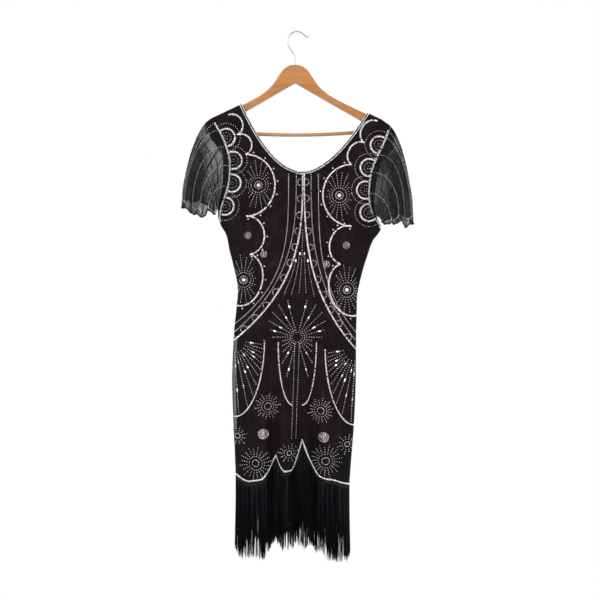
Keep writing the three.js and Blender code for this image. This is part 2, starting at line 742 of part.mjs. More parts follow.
// Fringe: a narrow band under the hem, with two locks of threads to each column of the panel.
function makeFringe(panel, grid, steps) {
  const hem = grid[0];
  const middle = hem.length / 2 - 1;
  const shares = [0, 0.06, 0.44, 0.56, 0.94];
  const down = (line, drop) => line.map((point) => point.clone().setZ(point.z - drop));
  const edge = [];
  const inset = [];
  for (let column = 0; column < hem.length - 1; column += 1) {
    if (column === middle) continue;
    for (const share of shares) {
      edge.push(hem[column].clone().lerp(hem[column + 1], share));
      inset.push(steps[0][column].clone().lerp(steps[0][column + 1], share));
    }
  }
  edge.push(hem.at(-1));
  inset.push(steps[0].at(-1));
  for (const step of inset) step.multiplyScalar(FRINGE.thick / CLOTH);

  const start = down(edge, FRINGE.gap);
  const bottom = down(start, FRINGE.band);
  const tips = down(bottom, 0);
  const tipInset = inset.map((step) => step.clone().multiplyScalar(FRINGE.taper));
  const isLock = (column) => column % shares.length === 1 || column % shares.length === 3;
  const outward = panel === "front" ? -1 : 1;
  for (let column = 0; column < edge.length - 1; column += 1) {
    if (!isLock(column)) continue;
    const centre = bottom[column].clone().lerp(bottom[column + 1], 0.5);
    const tip = centre.clone();
    tip.z -= FRINGE.long - FRINGE.uneven * chance(column * 3 + 70 * outward);
    tip.x += FRINGE.sway * (chance(column + 300 * outward) - 0.5);
    for (const corner of [tips[column], tips[column + 1]]) {
      corner.sub(centre).multiplyScalar(FRINGE.taper).add(tip);
    }
  }
  const { geometry } = clothWall([tips, bottom, start], FRINGE.thick, {
    has: (row, column) => row === 1 || isLock(column),
    insets: [tipInset, inset, inset],
    flip: panel === "back",
  });
  add(`fringe_${panel}`, geometry, COLOURS.fringe);
}

// A faceted dome that sits on the cloth with its flat side inwards.
function makeStone({ name, x, z }, grid) {
  const radius = STONE.round / 2;
  const profile = [
    new THREE.Vector2(0, 0),
    new THREE.Vector2(radius, 0),
    new THREE.Vector2(radius, 0.8),
    new THREE.Vector2(radius * 0.72, STONE.tall * 0.8),
    new THREE.Vector2(0, STONE.tall),
  ];
  const dome = new THREE.LatheGeometry(profile, 12);
  const { point, normal } = layOn(grid, x, z, STONE.lift);
  const turn = new THREE.Quaternion().setFromUnitVectors(new THREE.Vector3(0, 1, 0), normal);
  dome.applyQuaternion(turn);
  dome.translate(point.x, point.y, point.z);
  add(name, dome, COLOURS.glass);
}

makeHanger();
const grids = { front: panelGrid("front"), back: panelGrid("back") };
for (const panel of ["front", "back"]) {
  const steps = makePanel(panel, grids[panel]);
  makeBinding(panel, grids[panel]);
  makeFringe(panel, grids[panel], steps);
}
for (const hand of ["left", "right"]) makeSleeve(hand, grids);
for (const stone of STONES) makeStone(stone, grids.front);

export default part;
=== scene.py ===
import math

import bpy
import numpy as np
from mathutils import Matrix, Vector
from mathutils.bvhtree import BVHTree


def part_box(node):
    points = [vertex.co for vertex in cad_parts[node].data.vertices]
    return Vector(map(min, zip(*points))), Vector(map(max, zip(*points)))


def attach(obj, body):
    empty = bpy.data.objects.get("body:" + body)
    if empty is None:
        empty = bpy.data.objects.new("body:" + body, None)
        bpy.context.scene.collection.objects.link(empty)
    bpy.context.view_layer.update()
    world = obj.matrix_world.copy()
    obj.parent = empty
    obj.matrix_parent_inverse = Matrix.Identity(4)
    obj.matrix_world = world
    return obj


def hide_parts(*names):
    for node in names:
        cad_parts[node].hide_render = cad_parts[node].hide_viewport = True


# A flapper dress of beaded black net, hung on a lacquered coat hanger. The sections follow the
# order in which it comes together: hanger, panels, bindings, sleeves, fringe and beadwork.
# Sizes are in millimetres, and become metres where a mesh is made.

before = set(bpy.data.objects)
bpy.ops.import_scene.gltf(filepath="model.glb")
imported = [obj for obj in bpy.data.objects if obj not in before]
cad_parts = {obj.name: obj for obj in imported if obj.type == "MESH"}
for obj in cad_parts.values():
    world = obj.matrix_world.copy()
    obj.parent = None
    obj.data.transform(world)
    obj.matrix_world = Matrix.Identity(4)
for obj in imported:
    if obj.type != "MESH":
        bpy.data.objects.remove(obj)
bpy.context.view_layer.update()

# Hanger body and trouser bar
# Two arms of pale hardwood, cut from a board and joined at the head, with a turned bar between
# them. The wood is sanded, stained a warm orange brown and sprayed with a clear satin lacquer.

HANGER_MIDDLE = -5.6  # x where the two arms meet


def colour(code):
    """Linear colour of an sRGB hex code."""
    shares = [int(code[at:at + 2], 16) / 255 for at in (0, 2, 4)]
    return (*[s / 12.92 if s < 0.04045 else ((s + 0.055) / 1.055) ** 2.4 for s in shares], 1)


def add_node(tree, kind, inputs=None, **settings):
    """Adds a node. An input is given an output to link to, or a value."""
    node = tree.nodes.new("ShaderNode" + kind)
    for name, value in settings.items():
        setattr(node, name, value)
    for name, value in (inputs or {}).items():
        if isinstance(value, bpy.types.NodeSocket):
            tree.links.new(value, node.inputs[name])
        else:
            node.inputs[name].default_value = value
    return node


def new_material(name, **values):
    """A material, its tree, its shader with the given values, and the place on the object."""
    made = bpy.data.materials.new(name)
    made.use_nodes = True
    tree = made.node_tree
    shader = tree.nodes["Principled BSDF"]
    for socket, value in values.items():
        shader.inputs[socket.replace("_", " ")].default_value = value
    place = add_node(tree, "TexCoord").outputs["Object"]
    return made, tree, shader, place


def shades(tree, share, *stops):
    """Colour that runs through the stops (share, hex code)."""
    ramp = add_node(tree, "ValToRGB", {"Fac": share})
    while len(ramp.color_ramp.elements) < len(stops):
        ramp.color_ramp.elements.new(0.5)
    for element, (at, code) in zip(ramp.color_ramp.elements, stops):
        element.position = at
        element.color = colour(code)
    return ramp.outputs["Color"]


def bump(tree, shader, height, depth_mm, strength=1.0):
    """Relief of the given depth where height runs from 0 to 1."""
    node = add_node(tree, "Bump", {"Height": height, "Distance": depth_mm / 1000, "Strength": strength})
    tree.links.new(node.outputs["Normal"], shader.inputs["Normal"])


def lacquered_wood(name, slope, *stain):
    """Stained hardwood under satin lacquer: soft streaks along the grain, and a broad sheen."""
    made, tree, shader, place = new_material(name, Roughness=0.36, Coat_Weight=0.35, Coat_Roughness=0.22)
    # The grain runs down each arm from where the two meet
    apart = add_node(tree, "SeparateXYZ", {"Vector": place})
    across = add_node(tree, "Math", {0: apart.outputs["X"], 1: -HANGER_MIDDLE / 1000}, operation="ADD")
    out = add_node(tree, "Math", {0: across.outputs[0]}, operation="ABSOLUTE")
    folded = add_node(tree, "CombineXYZ", {
        "X": out.outputs[0], "Y": apart.outputs["Y"], "Z": apart.outputs["Z"],
    })

    def along_grain(scale, **texture):
        """Noise that is drawn out along the grain."""
        turned = {"Vector": folded.outputs[0], "Rotation": (0, slope, 0), "Scale": scale}
        grain = add_node(tree, "Mapping", turned)
        return add_node(tree, "TexNoise", {"Vector": grain.outputs[0], "Scale": 1, **texture}).outputs["Fac"]

    streaks = along_grain((9, 150, 210), Detail=5, Roughness=0.6)
    broad = along_grain((3, 30, 34), Detail=2)
    both = add_node(tree, "Mix", {"Factor": 0.42, 2: streaks, 3: broad})
    tone = shades(tree, both.outputs[0], *zip((0.32, 0.5, 0.68), stain))
    tree.links.new(tone, shader.inputs["Base Color"])
    bump(tree, shader, streaks, 0.12, 0.4)
    return made


def wear(piece, material):
    """Gives a piece one material in place of its own."""
    piece.data.materials.clear()
    piece.data.materials.append(material)


wear(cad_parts["hanger_body"], lacquered_wood("lacquered_hardwood", -0.5, "8f5620", "9e6429", "ab7335"))
wear(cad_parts["trouser_bar"], lacquered_wood("lacquered_turned_bar", 0, "835a3a", "946b48", "a27b58"))

# Hook
# One length of 3 mm steel wire, bent cold to a round crown and nickel plated. Its straight lower
# end is pushed into the hanger's head.

HOOK_WIRE = 3
HOOK_LINE = [
    (-5.6, -98), (-5.6, -80), (-5.8, -66), (-8.5, -55), (-16.5, -43), (-23, -32), (-24.2, -21.5),
    (-20, -10), (-11.5, -1.6), (0, 1.5), (10, -2.2), (18.5, -9.2), (27, -13.4),
]


def ease(share):
    """The same share, with a slow start and end."""
    return share ** 2 * (3 - 2 * share)


def lerp(start, end, share):
    """Value that lies a share of the way from start to end."""
    return start + (end - start) * share


def unit(vectors):
    """The same directions, each with a length of one."""
    return vectors / np.maximum(np.linalg.norm(vectors, axis=-1, keepdims=True), 1e-9)


def smooth_line(points, steps):
    """Points on a smooth curve through the given ones, with steps pieces between two of them."""
    points = np.asarray(points, float)
    if len(points) < 3:
        return np.array([lerp(points[0], points[-1], t) for t in np.linspace(0, 1, steps + 1)])
    ends = np.concatenate([[2 * points[0] - points[1]], points, [2 * points[-1] - points[-2]]])
    made = []
    for a, b, c, d in zip(ends, ends[1:], ends[2:], ends[3:]):
        pace = [max(math.dist(p, q), 1e-6) ** 0.5 for p, q in ((a, b), (b, c), (c, d))]
        out = ((b - a) / pace[0] - (c - a) / (pace[0] + pace[1]) + (c - b) / pace[1]) * pace[1]
        back = ((c - b) / pace[1] - (d - b) / (pace[1] + pace[2]) + (d - c) / pace[2]) * pace[1]
        for t in np.arange(steps) / steps:
            bend = t * (1 - t) * ((1 - t) * (out - (c - b)) - t * (back - (c - b)))
            made.append(lerp(b, c, t) + bend)
    return np.array([*made, points[-1]])


def add_mesh(name, points, faces, material, slot, smooth=True):
    """A piece of the dress or hanger from points in millimetres."""
    mesh = bpy.data.meshes.new(name)
    mesh.from_pydata((np.asarray(points) / 1000).tolist(), [], [list(map(int, f)) for f in faces])
    mesh.polygons.foreach_set("use_smooth", [smooth] * len(mesh.polygons))
    mesh.materials.append(material)
    mesh.update()
    piece = bpy.data.objects.new(name, mesh)
    bpy.context.scene.collection.objects.link(piece)
    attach(piece, "root")
    return piece


def tube_faces(rings, sides):
    """Squares between rings of points, and a flat face at each end."""
    faces = []
    for row in range(rings - 1):
        for at in range(sides):
            a, b = row * sides + at, row * sides + (at + 1) % sides
            faces.append((a, b, b + sides, a + sides))
    last = (rings - 1) * sides
    return [*faces, tuple(range(sides))[::-1], tuple(range(last, last + sides))]


def cord_mesh(line, radius, sides):
    """Points and faces of a round cord along a line of points, closed at both ends."""
    line = np.asarray(line, float)
    run = unit(np.gradient(line, axis=0))
    side = np.cross(run[0], (0.0, 1.0, 0.13))  # any way off the line to start with
    points = []
    for centre, way in zip(line, run):
        side = unit(side - way * side.dot(way))
        up = np.cross(way, side)
        for turn in np.arange(sides) * 2 * math.pi / sides:
            points.append(centre + radius * (math.cos(turn) * side + math.sin(turn) * up))
    return np.array(points), tube_faces(len(line), sides)


# Bright nickel over drawn steel: a sharp gloss broken by faint marks along the wire.
nickel, tree, shader, place = new_material("nickel_plated_steel_wire", Metallic=1.0, Roughness=0.24)
marks = add_node(tree, "TexNoise", {"Vector": place, "Scale": 900, "Detail": 3})
tone = shades(tree, marks.outputs["Fac"], (0.3, "8f9092"), (0.7, "b9babc"))
tree.links.new(tone, shader.inputs["Base Color"])
bump(tree, shader, marks.outputs["Fac"], 0.03, 0.3)

hook_line = smooth_line([(x, 0, z) for x, z in HOOK_LINE], 8)
hook = add_mesh("hook_wire", *cord_mesh(hook_line, HOOK_WIRE / 2, 16), nickel, "hook_steel")
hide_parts("hook")

# Front and back panels
# Black net laid over a plain black lining, cut as one front and one back. They are sewn together
# at the sides and shoulders, and hang from the arms of the hanger in soft lengthwise folds.

FACE = {"front": -1, "back": 1}  # the way along Y that each panel faces
SIDE = {"left": -1, "right": 1}  # the way along X to each side
CLOTH = 2
SEAM_GAP = 0.3
NECK_LEVEL = 1.27  # levels: 0 at the hem, 1 at the underarm, 2 at the shoulder seam
SLEEVE_LEVEL = 1.13
HEM = {"left": -1075, "middle": -1085, "right": -1103}
UNDERARM = {"left": -464, "middle": -440, "right": -479}
NECK_X, NECK_Z = 14.6, -342.6
NECK_SIDE = {"left": (150.7, 2), "right": (155, 1.72)}  # half width at the top, power of the curve
NECK_PACE = 0.72
HEM_MIDDLE_X = -13
HANGER_REACH, HANGER_FORWARD = 220, 6  # half length, and how far the tips stand forward
ARM_TOP = [  # height of the arms' upper edge, by distance from the hanger's middle
    (0, -80), (14, -82), (27, -90), (38.9, -104.5), (51, -124), (70.5, -145), (100.4, -164.5),
    (161.6, -195), (220, -223),
]
SEAM_LIFT = 4.4
RIGHT_DROP_FROM, RIGHT_DROP = 203, 12.5
# Edge of the panels, from the hem to the underarm and up the front armhole: level, left, right
EDGE = [
    (0, -150.7, 126.4), (0.1, -153.3, 131), (0.22, -156.7, 137), (0.38, -159.2, 141.7),
    (0.57, -154.3, 143), (0.67, -148, 144.3), (0.74, -145.5, 146), (0.83, -156.7, 158),
    (0.89, -166, 169.7), (0.95, -173.7, 183), (1, -189.5, 203), (1.1, -189.5, 190),
    (1.2, -183, 180), (1.35, -170.5, 176), (1.55, -166.5, 182), (1.7, -173, 196),
    (1.85, -189, 214), (2, -211, 227),
]
BACK_WIDER = 16
# How far each panel stands out at its middle: level, front, back
DEPTH = [
    (0, 46, 42), (0.3, 42, 38), (0.6, 33, 30), (1, 25, 23), (1.27, 21, 19), (1.6, 14.5, 13.5),
    (2, 12, 11),
]
EDGE_DEPTH = [(0, 0.15), (1, 0.15), (1.13, 5), (1.27, 9), (1.42, 11.5), (2, 11.5)]
ROUNDNESS = 2.4
OVER_ARM, ARMHOLE_TALL = 11, 249
BOW_FROM, BOW_OVER = 1.7, 0.25  # levels over which the top takes on the arm's own curve
# Low uneven waves in all of the cloth: depth, then width, sway and its width across and up
WAVES = [(0.55, 23, 1.7, 71, 47, 1.3, 39), (0.22, 8.3, 2.1, 31, 19, 1.1, 13)]
# Lengthwise folds: x, z and depth at the start, x, z and depth at the end, half width
FOLDS = {
    "front": [
        (3, -343, 9, 6, -720, 0, 13), (-66, -700, 0, -54, -1090, 25, 13),
        (-2, -800, 0, -3, -1090, 20, 12), (34, -660, 0, 46, -1090, 20, 13),
        (-122, -760, 0, -108, -1090, 9, 14), (100, -740, 0, 88, -1090, 9, 14),
    ],
    "back": [
        (-92, -660, 0, -88, -1090, 20, 15), (-26, -600, 0, -24, -1090, 22, 15),
        (44, -700, 0, 40, -1090, 20, 14), (98, -780, 0, 92, -1090, 12, 13),
        (14, -350, 6, 10, -560, 0, 16),
    ],
}
HEM_LOW = {
    "front": [(-151, -1078), (-114, -1095), (-20, -1066), (60, -1084), (127, -1104)],
    "back": [(-151, -1078), (-60, -1092), (40, -1090), (127, -1104)],
}
NOTCHES = {  # x and height of each pointed notch in the hem, and its width to the left and right
    "front": [(-52, 44, 34, 22), (11.7, 80, 28, 42)],
    "back": [(-96, 58, 40, 40), (-24, 62, 40, 40), (48, 60, 40, 40)],
}
HEM_FADE = 0.42
# Creases: x and z of both ends, depth (a ridge if negative) and half width
CREASES = {
    "front": [
        (-152, -470, -118, -548, 2.6, 9), (-160, -500, -132, -560, -1.8, 7),
        (-148, -545, -110, -590, 1.9, 8), (-146, -590, -96, -622, -1.4, 8),
        (170, -508, 118, -548, 3.0, 9), (164, -532, 112, -584, -2.0, 7),
        (152, -556, 100, -610, 2.4, 9), (148, -590, 84, -640, -1.7, 8),
        (146, -628, 96, -668, 1.8, 9), (140, -676, 74, -716, 1.3, 10),
        (-140, -640, -92, -690, 1.5, 9), (-60, -390, -84, -470, 1.2, 14),
        (66, -390, 96, -470, 1.4, 14), (-20, -520, -34, -660, 1.5, 12),
        (26, -500, 30, -640, -1.3, 11), (-140, -860, -128, -1050, 2.2, 12),
        (118, -840, 112, -1060, 2.4, 12), (66, -800, 68, -1040, -1.8, 11),
        (-88, -800, -84, -1030, -1.6, 11), (-30, -760, -28, -1010, 1.4, 9),
        (-150, -300, -112, -350, 1.2, 13), (150, -300, 116, -356, 1.3, 13),
    ],
    "back": [
        (-156, -480, -104, -548, 2.6, 9), (-150, -530, -96, -600, -1.9, 8),
        (-146, -590, -84, -648, 2.0, 9), (168, -500, 112, -560, 2.8, 9),
        (156, -548, 100, -612, -2.0, 8), (148, -610, 86, -664, 2.1, 9),
        (-60, -420, -30, -560, 1.5, 15), (70, -420, 44, -560, 1.6, 15),
        (-130, -800, -124, -1040, 2.2, 12), (128, -820, 112, -1040, 2.0, 12),
        (6, -760, 8, -1050, -1.8, 12), (-56, -780, -58, -1050, -1.6, 11),
        (68, -760, 66, -1040, 1.5, 11),
    ],
}


def along(table, place, column=1):
    """Value of a table's column at places of its first one, on a smooth curve."""
    keys, values = np.array(table, float)[:, [0, column]].T
    number = np.arange(len(keys))
    before, after = np.maximum(number - 1, 0), np.minimum(number + 1, len(keys) - 1)
    slopes = (values[after] - values[before]) / (keys[after] - keys[before])
    row = np.clip(np.searchsorted(keys, place) - 1, 0, len(keys) - 2)
    span = keys[row + 1] - keys[row]
    t = np.clip((place - keys[row]) / span, 0, 1)
    bend = t * (1 - t) * span * ((1 - t) * slopes[row] - t * slopes[row + 1])
    return lerp(values[row], values[row + 1], ease(t)) + bend


def arm_forward(x):
    """How far the arm's middle stands forward at x."""
    return HANGER_FORWARD * (np.abs(x - HANGER_MIDDLE) / HANGER_REACH) ** 2


def seam_height(x):
    """Height of the shoulder seam at x, just over the arm."""
    past = np.maximum(0, x - RIGHT_DROP_FROM) / (EDGE[-1][2] - RIGHT_DROP_FROM)
    return along(ARM_TOP, np.abs(x - HANGER_MIDDLE)) + SEAM_LIFT - RIGHT_DROP * past ** 2


def edge_at(panel, level, hand):
    """x and z of a panel's outer edge."""
    column = 1 if hand == "left" else 2
    wider = np.where(level > 1, BACK_WIDER * np.sin(np.pi * (level - 1)), 0) * (panel == "back")
    x = along(EDGE, level, column) + SIDE[hand] * wider
    top = seam_height(EDGE[-1][column])
    low = lerp(HEM[hand], UNDERARM[hand], level)
    return x, np.where(level < 1, low, lerp(UNDERARM[hand], top, level - 1))


def inner_at(level, hand):
    """x and z of a half panel's inner edge: the dress's middle, and the neck's edge above it."""
    reach, power = NECK_SIDE[hand]
    reach *= SIDE[hand]
    low = lerp(HEM["middle"], UNDERARM["middle"], level)
    high = lerp(UNDERARM["middle"], NECK_Z, (level - 1) / (NECK_LEVEL - 1))
    z = np.where(level < 1, low, high)
    x = lerp(HEM_MIDDLE_X, NECK_X, (z - HEM["middle"]) / (NECK_Z - HEM["middle"]))
    share = (np.maximum(level - NECK_LEVEL, 0) / (2 - NECK_LEVEL)) ** NECK_PACE
    neck_z = lerp(NECK_Z, seam_height(NECK_X + reach), share ** power)
    at_neck = level > NECK_LEVEL
    return np.where(at_neck, NECK_X + reach * share, x), np.where(at_neck, neck_z, z)


def fold_depth(panel, x, z):
    """How far the cloth falls back into its folds and creases."""
    depth = np.zeros_like(x)
    for x1, z1, deep1, x2, z2, deep2, wide in FOLDS[panel]:
        share = np.clip((z1 - z) / (z1 - z2), 0, 1)
        off = (x - lerp(x1, x2, share)) / wide
        depth += lerp(deep1, deep2, share) * (1 - off ** 2 / 2) * np.exp(-(off ** 2) / 2)
    for x1, z1, x2, z2, deep, wide in CREASES[panel]:
        run = np.array([x2 - x1, z2 - z1], float)
        long = np.hypot(*run)
        down = ((x - x1) * run[0] + (z - z1) * run[1]) / long ** 2
        bow = 0.07 * long * np.sin(np.pi * np.clip(down, 0, 1))
        off = (((x - x1) * run[1] - (z - z1) * run[0]) / long - bow) / wide
        depth += deep * np.exp(-(off ** 2)) * np.exp(-((2.1 * (down - 0.5)) ** 4))
    for deep, wide, sway, sway_tall, tall, lean, lean_wide in WAVES:
        across = np.sin(x / wide + sway * np.sin(z / sway_tall))
        depth += deep * across * np.sin(z / tall + lean * np.sin(x / lean_wide))
    return depth


def panel_points(panel, level, across):
    """Points of a panel's outer face. across runs from -1 at the left edge to 1 at the right."""
    level, across = np.broadcast_arrays(np.asarray(level, float), np.asarray(across, float))
    inward = 1 - np.abs(across)
    x, z, out = (np.zeros_like(level) for _ in range(3))
    for hand in ("left", "right"):
        mine = across < 0 if hand == "left" else across >= 0
        here, inside = level[mine], inward[mine]
        edge, inner = edge_at(panel, here, hand), inner_at(here, hand)
        hx, hz = (lerp(e, i, inside) for e, i in zip(edge, inner))
        low = along(HEM_LOW[panel], hx)
        for notch_x, tall, left, right in NOTCHES[panel]:
            wide = np.where(hx < notch_x, left, right)
            low = low + tall * np.maximum(0, 1 - np.abs(hx - notch_x) / wide) ** 1.5
        off_hem = low - lerp(HEM[hand], HEM["middle"], inside)
        hz = hz + off_hem * np.maximum(0, 1 - here / HEM_FADE) ** 2
        outer_end = EDGE[-1][1 if hand == "left" else 2]
        inner_end = float(inner_at(np.array(2.0), hand)[0])
        chord = lerp(seam_height(outer_end), seam_height(inner_end), inside)
        bow = seam_height(lerp(outer_end, inner_end, inside)) - chord
        hz = hz + bow * ease(np.clip((here - BOW_FROM) / BOW_OVER, 0, 1))
        closed = np.interp(here, *np.array(EDGE_DEPTH, float).T)
        deep = along(DEPTH, here, 1 if panel == "front" else 2)
        fullness = (1 - (1 - inside) ** ROUNDNESS) ** (1 / ROUNDNESS)
        # Folds and creases die away beside the side seams
        stand = lerp(closed, deep, fullness) - fold_depth(panel, hx, hz) * (1 - (1 - inside) ** 6)
        turn = np.sqrt(1 - (1 - np.clip((2 - here) * ARMHOLE_TALL / OVER_ARM, 0, 1)) ** 2)
        x[mine], z[mine], out[mine] = hx, hz, lerp(SEAM_GAP / 2, stand, turn)
    middle = -arm_forward(x) * ease(np.clip(level - 1, 0, 1))
    return np.stack([x, middle + FACE[panel] * out, z], -1)


def grid_faces(rows, columns, skip=()):
    """Squares of a grid of points, row by row, without the skipped columns."""
    number = np.arange(rows * columns).reshape(rows, columns)
    keep = [c for c in range(columns - 1) if c not in skip]
    corners = [number[:-1, keep], number[:-1, [c + 1 for c in keep]],
               number[1:, [c + 1 for c in keep]], number[1:, keep]]
    return np.stack([c.ravel() for c in corners], -1)


def vertex_normals(points, faces):
    normals = np.zeros_like(points)
    turn = np.cross(points[faces[:, 2]] - points[faces[:, 0]], points[faces[:, 3]] - points[faces[:, 1]])
    for corner in range(4):
        np.add.at(normals, faces[:, corner], turn)
    return unit(normals)


def shell(points, faces, thick, lay=None):
    """Closes a sheet into a thin shell: the second face lies the cloth's thickness inside."""
    normals = vertex_normals(points, faces)
    if lay is not None:
        normals = lay(normals)
    count = len(points)
    edges = {}
    for face in faces:
        for a, b in zip(face, np.roll(face, -1)):
            if a == b:
                continue
            if (b, a) in edges:
                del edges[(b, a)]
            else:
                edges[(a, b)] = True
    rim = [(b, a, a + count, b + count) for a, b in edges]
    inside = faces[:, ::-1] + count
    return np.concatenate([points, points - normals * thick]), [*faces, *inside, *rim]


HEM_ROWS_TO, TOP_ROWS_FROM = 0.12, 1.945  # rows stand closer below the one and above the other
LEVELS = np.unique(np.concatenate([
    np.linspace(0, HEM_ROWS_TO, 16), np.linspace(HEM_ROWS_TO, 1, 118), np.linspace(1, NECK_LEVEL, 34),
    NECK_LEVEL + (TOP_ROWS_FROM - NECK_LEVEL) * np.linspace(0, 1, 60) ** 1.25,
    np.linspace(TOP_ROWS_FROM, 2, 9),
]).round(6))
SIDE_COLUMNS = 64
half = 1 - np.linspace(0, 1, SIDE_COLUMNS + 1) ** 1.12  # columns are closer near the edge
half = np.cos(np.linspace(0, 1, SIDE_COLUMNS + 1) * np.pi / 2) * 0.45 + half * 0.55
ACROSS = np.concatenate([-half[:-1], [-1e-7, 1e-7], half[:-1][::-1]])


def make_panel(panel):
    """Points and squares of a panel's outer face, how its inside lies, and each point's share across."""
    rows, columns = len(LEVELS), len(ACROSS)
    grid = panel_points(panel, LEVELS[:, None], ACROSS[None, :])
    below_neck = LEVELS <= NECK_LEVEL + 1e-9
    grid[below_neck, SIDE_COLUMNS] = grid[below_neck, SIDE_COLUMNS + 1]
    faces = grid_faces(rows, columns, skip=(SIDE_COLUMNS,))
    number = np.arange(rows * columns).reshape(rows, columns)
    number[below_neck, SIDE_COLUMNS + 1] = number[below_neck, SIDE_COLUMNS]
    faces = number.ravel()[faces]
    if panel == "back":
        faces = faces[:, ::-1]
    used, faces = np.unique(faces, return_inverse=True)
    faces = faces.reshape(-1, 4)
    points = grid.reshape(-1, 3)[used]
    level_of = np.repeat(LEVELS, columns)[used]
    across_of = np.tile(ACROSS, rows)[used]

    def lay(normals):
        seam = (level_of > 2 - 1e-6) | ((level_of <= 1) & (np.abs(across_of) > 1 - 1e-6))
        normals[seam, 1] = 0
        hem = level_of < 1e-6
        normals[hem, 2] = 0
        normals[hem & (np.abs(across_of) < 0.97), 0] *= 0.2
        return unit(normals)

    return points, faces, lay, across_of


def net_pattern(tree, place, cell_mm, uneven, edges, values):
    """Runs from the first value on a net's threads to the second in the middle of its cells."""
    cells = add_node(tree, "TexVoronoi", {"Vector": place, "Scale": 1000 / cell_mm, "Randomness": uneven},
                     feature="DISTANCE_TO_EDGE")
    return add_node(tree, "MapRange", {
        "Value": cells.outputs["Distance"], "From Min": edges[0], "From Max": edges[1],
        "To Min": values[0], "To Max": values[1],
    }).outputs["Result"]


# Matt black net over smooth black lining: the net's threads catch a little warm grey light, and
# the lining between them is darker. The net's 1.2 mm holes are drawn 2.2 mm wide so that they show.
NET_CELL, NET_UNEVEN = 2.2, 0.25
net_over_lining, tree, shader, place = new_material("black_net_over_lining", Roughness=0.7)
shader.inputs["Specular IOR Level"].default_value = 0.06
thread = net_pattern(tree, place, NET_CELL, NET_UNEVEN, (0.04, 0.2), (1.0, 0.0))
cloudy = add_node(tree, "TexNoise", {"Vector": place, "Scale": 26, "Detail": 3})
dark = shades(tree, cloudy.outputs["Fac"], (0.35, "070506"), (0.65, "0d090a"))
lit = shades(tree, cloudy.outputs["Fac"], (0.35, "130e0e"), (0.65, "1e1614"))
tone = add_node(tree, "Mix", {"Factor": thread, 6: dark, 7: lit}, data_type="RGBA")
tree.links.new(tone.outputs[2], shader.inputs["Base Color"])
bump(tree, shader, thread, 0.25, 0.5)

# The same net alone, past the edge of the lining on the left side: light comes through it.
UNLINED_PAST, UNLINED_HEIGHTS = -0.93, (-975, -745)  # share across, lowest and highest z
side_net, tree, shader, place = new_material("black_net_unlined", Roughness=0.75)
cover = net_pattern(tree, place, NET_CELL, NET_UNEVEN, (0.05, 0.2), (0.55, 0.22))
cloudy = add_node(tree, "TexNoise", {"Vector": place, "Scale": 40})
tone = shades(tree, cloudy.outputs["Fac"], (0.3, "161416"), (0.7, "242124"))
tree.links.new(tone, shader.inputs["Base Color"])
tree.links.new(cover, shader.inputs["Alpha"])

trees = {}
for panel in FACE:
    points, faces, lay, across_of = make_panel(panel)
    trees[panel] = BVHTree.FromPolygons(points.tolist(), faces.tolist())
    piece = add_mesh(f"{panel}_panel", *shell(points, faces, CLOTH, lay), net_over_lining, "beaded_net")
    piece.data.materials.append(side_net)
    low, high = UNLINED_HEIGHTS
    at_edge = (across_of < UNLINED_PAST) & (points[:, 2] > low) & (points[:, 2] < high)
    # The outer squares come first in the mesh, then the same ones inside, then the rim
    finish = np.zeros(len(piece.data.polygons), int)
    finish[:2 * len(faces)] = np.tile(at_edge[faces].all(1), 2)
    piece.data.polygons.foreach_set("material_index", finish)
    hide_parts(f"{panel}_yoke", f"{panel}_waist", f"{panel}_skirt")

# The overlocked side seams, a narrow roll of the same cloth between the panels' edges
SEAM_ROLL = 2.2
for hand, outward in SIDE.items():
    line = panel_points("front", np.linspace(0.001, 1, 180), outward)
    line[:, 0] -= outward * (SEAM_ROLL / 2 - 0.2)
    line[:, 1] = 0
    add_mesh(f"side_seam_{hand}", *cord_mesh(line, SEAM_ROLL / 2, 8), net_over_lining, "beaded_net")


def lifted(panel, spot, normal, lift):
    """A place lifted off a panel's outer face, and the normal there, which faces out."""
    normal = normal.normalized()
    if normal.y * FACE[panel] < 0:
        normal.negate()
    return np.array(spot + normal * lift), np.array(normal)


def seat(panel, x, z, lift=0.0):
    """Place and normal on a panel's outer face at (x, z), or None beside the cloth."""
    clear_of_cloth = 120 * FACE[panel]
    spot, normal, _, _ = trees[panel].ray_cast(Vector((x, clear_of_cloth, z)), Vector((0, -FACE[panel], 0)))
    return None if spot is None else lifted(panel, spot, normal, lift)


# Neck bindings
# A folded strip of black satin closes the neck edge of each panel, and two rows of silver lined
# bugle beads are sewn along it, so that a dark line shows between them.

BINDING_THICK = 0.8
STRIP_ROWS = ((0.3, 0.9), (1.6, 1.5), (3.4, 1.0), (5.1, 1.5), (6.5, 0.9))  # out from the edge, lift
BEAD_ROWS = ((1.1, 2.0), (5.5, 2.2))  # out from the edge, length of each bead
BUGLE_ROUND = 1.9
BEAD_LIFT = 1.5 + BUGLE_ROUND / 2 - 0.3  # beads sink 0.3 mm into the satin's ridges


def facing(points, faces, outward):
    """The same squares, turned so that they face outward along Y."""
    return faces if vertex_normals(points, faces)[:, 1].mean() * outward > 0 else faces[:, ::-1]


def neck_edge(panel):
    levels = NECK_LEVEL + (2 - NECK_LEVEL) * np.linspace(0, 1, 150) ** 1.5
    left, right = panel_points(panel, levels, -1e-7), panel_points(panel, levels, 1e-7)
    return np.concatenate([left[::-1], right[1:]])


def seated_near(panel, point, lift):
    """Place and normal on the outer face nearest to a point."""
    spot, normal, _, _ = trees[panel].find_nearest(Vector(point))
    return lifted(panel, spot, normal, lift)


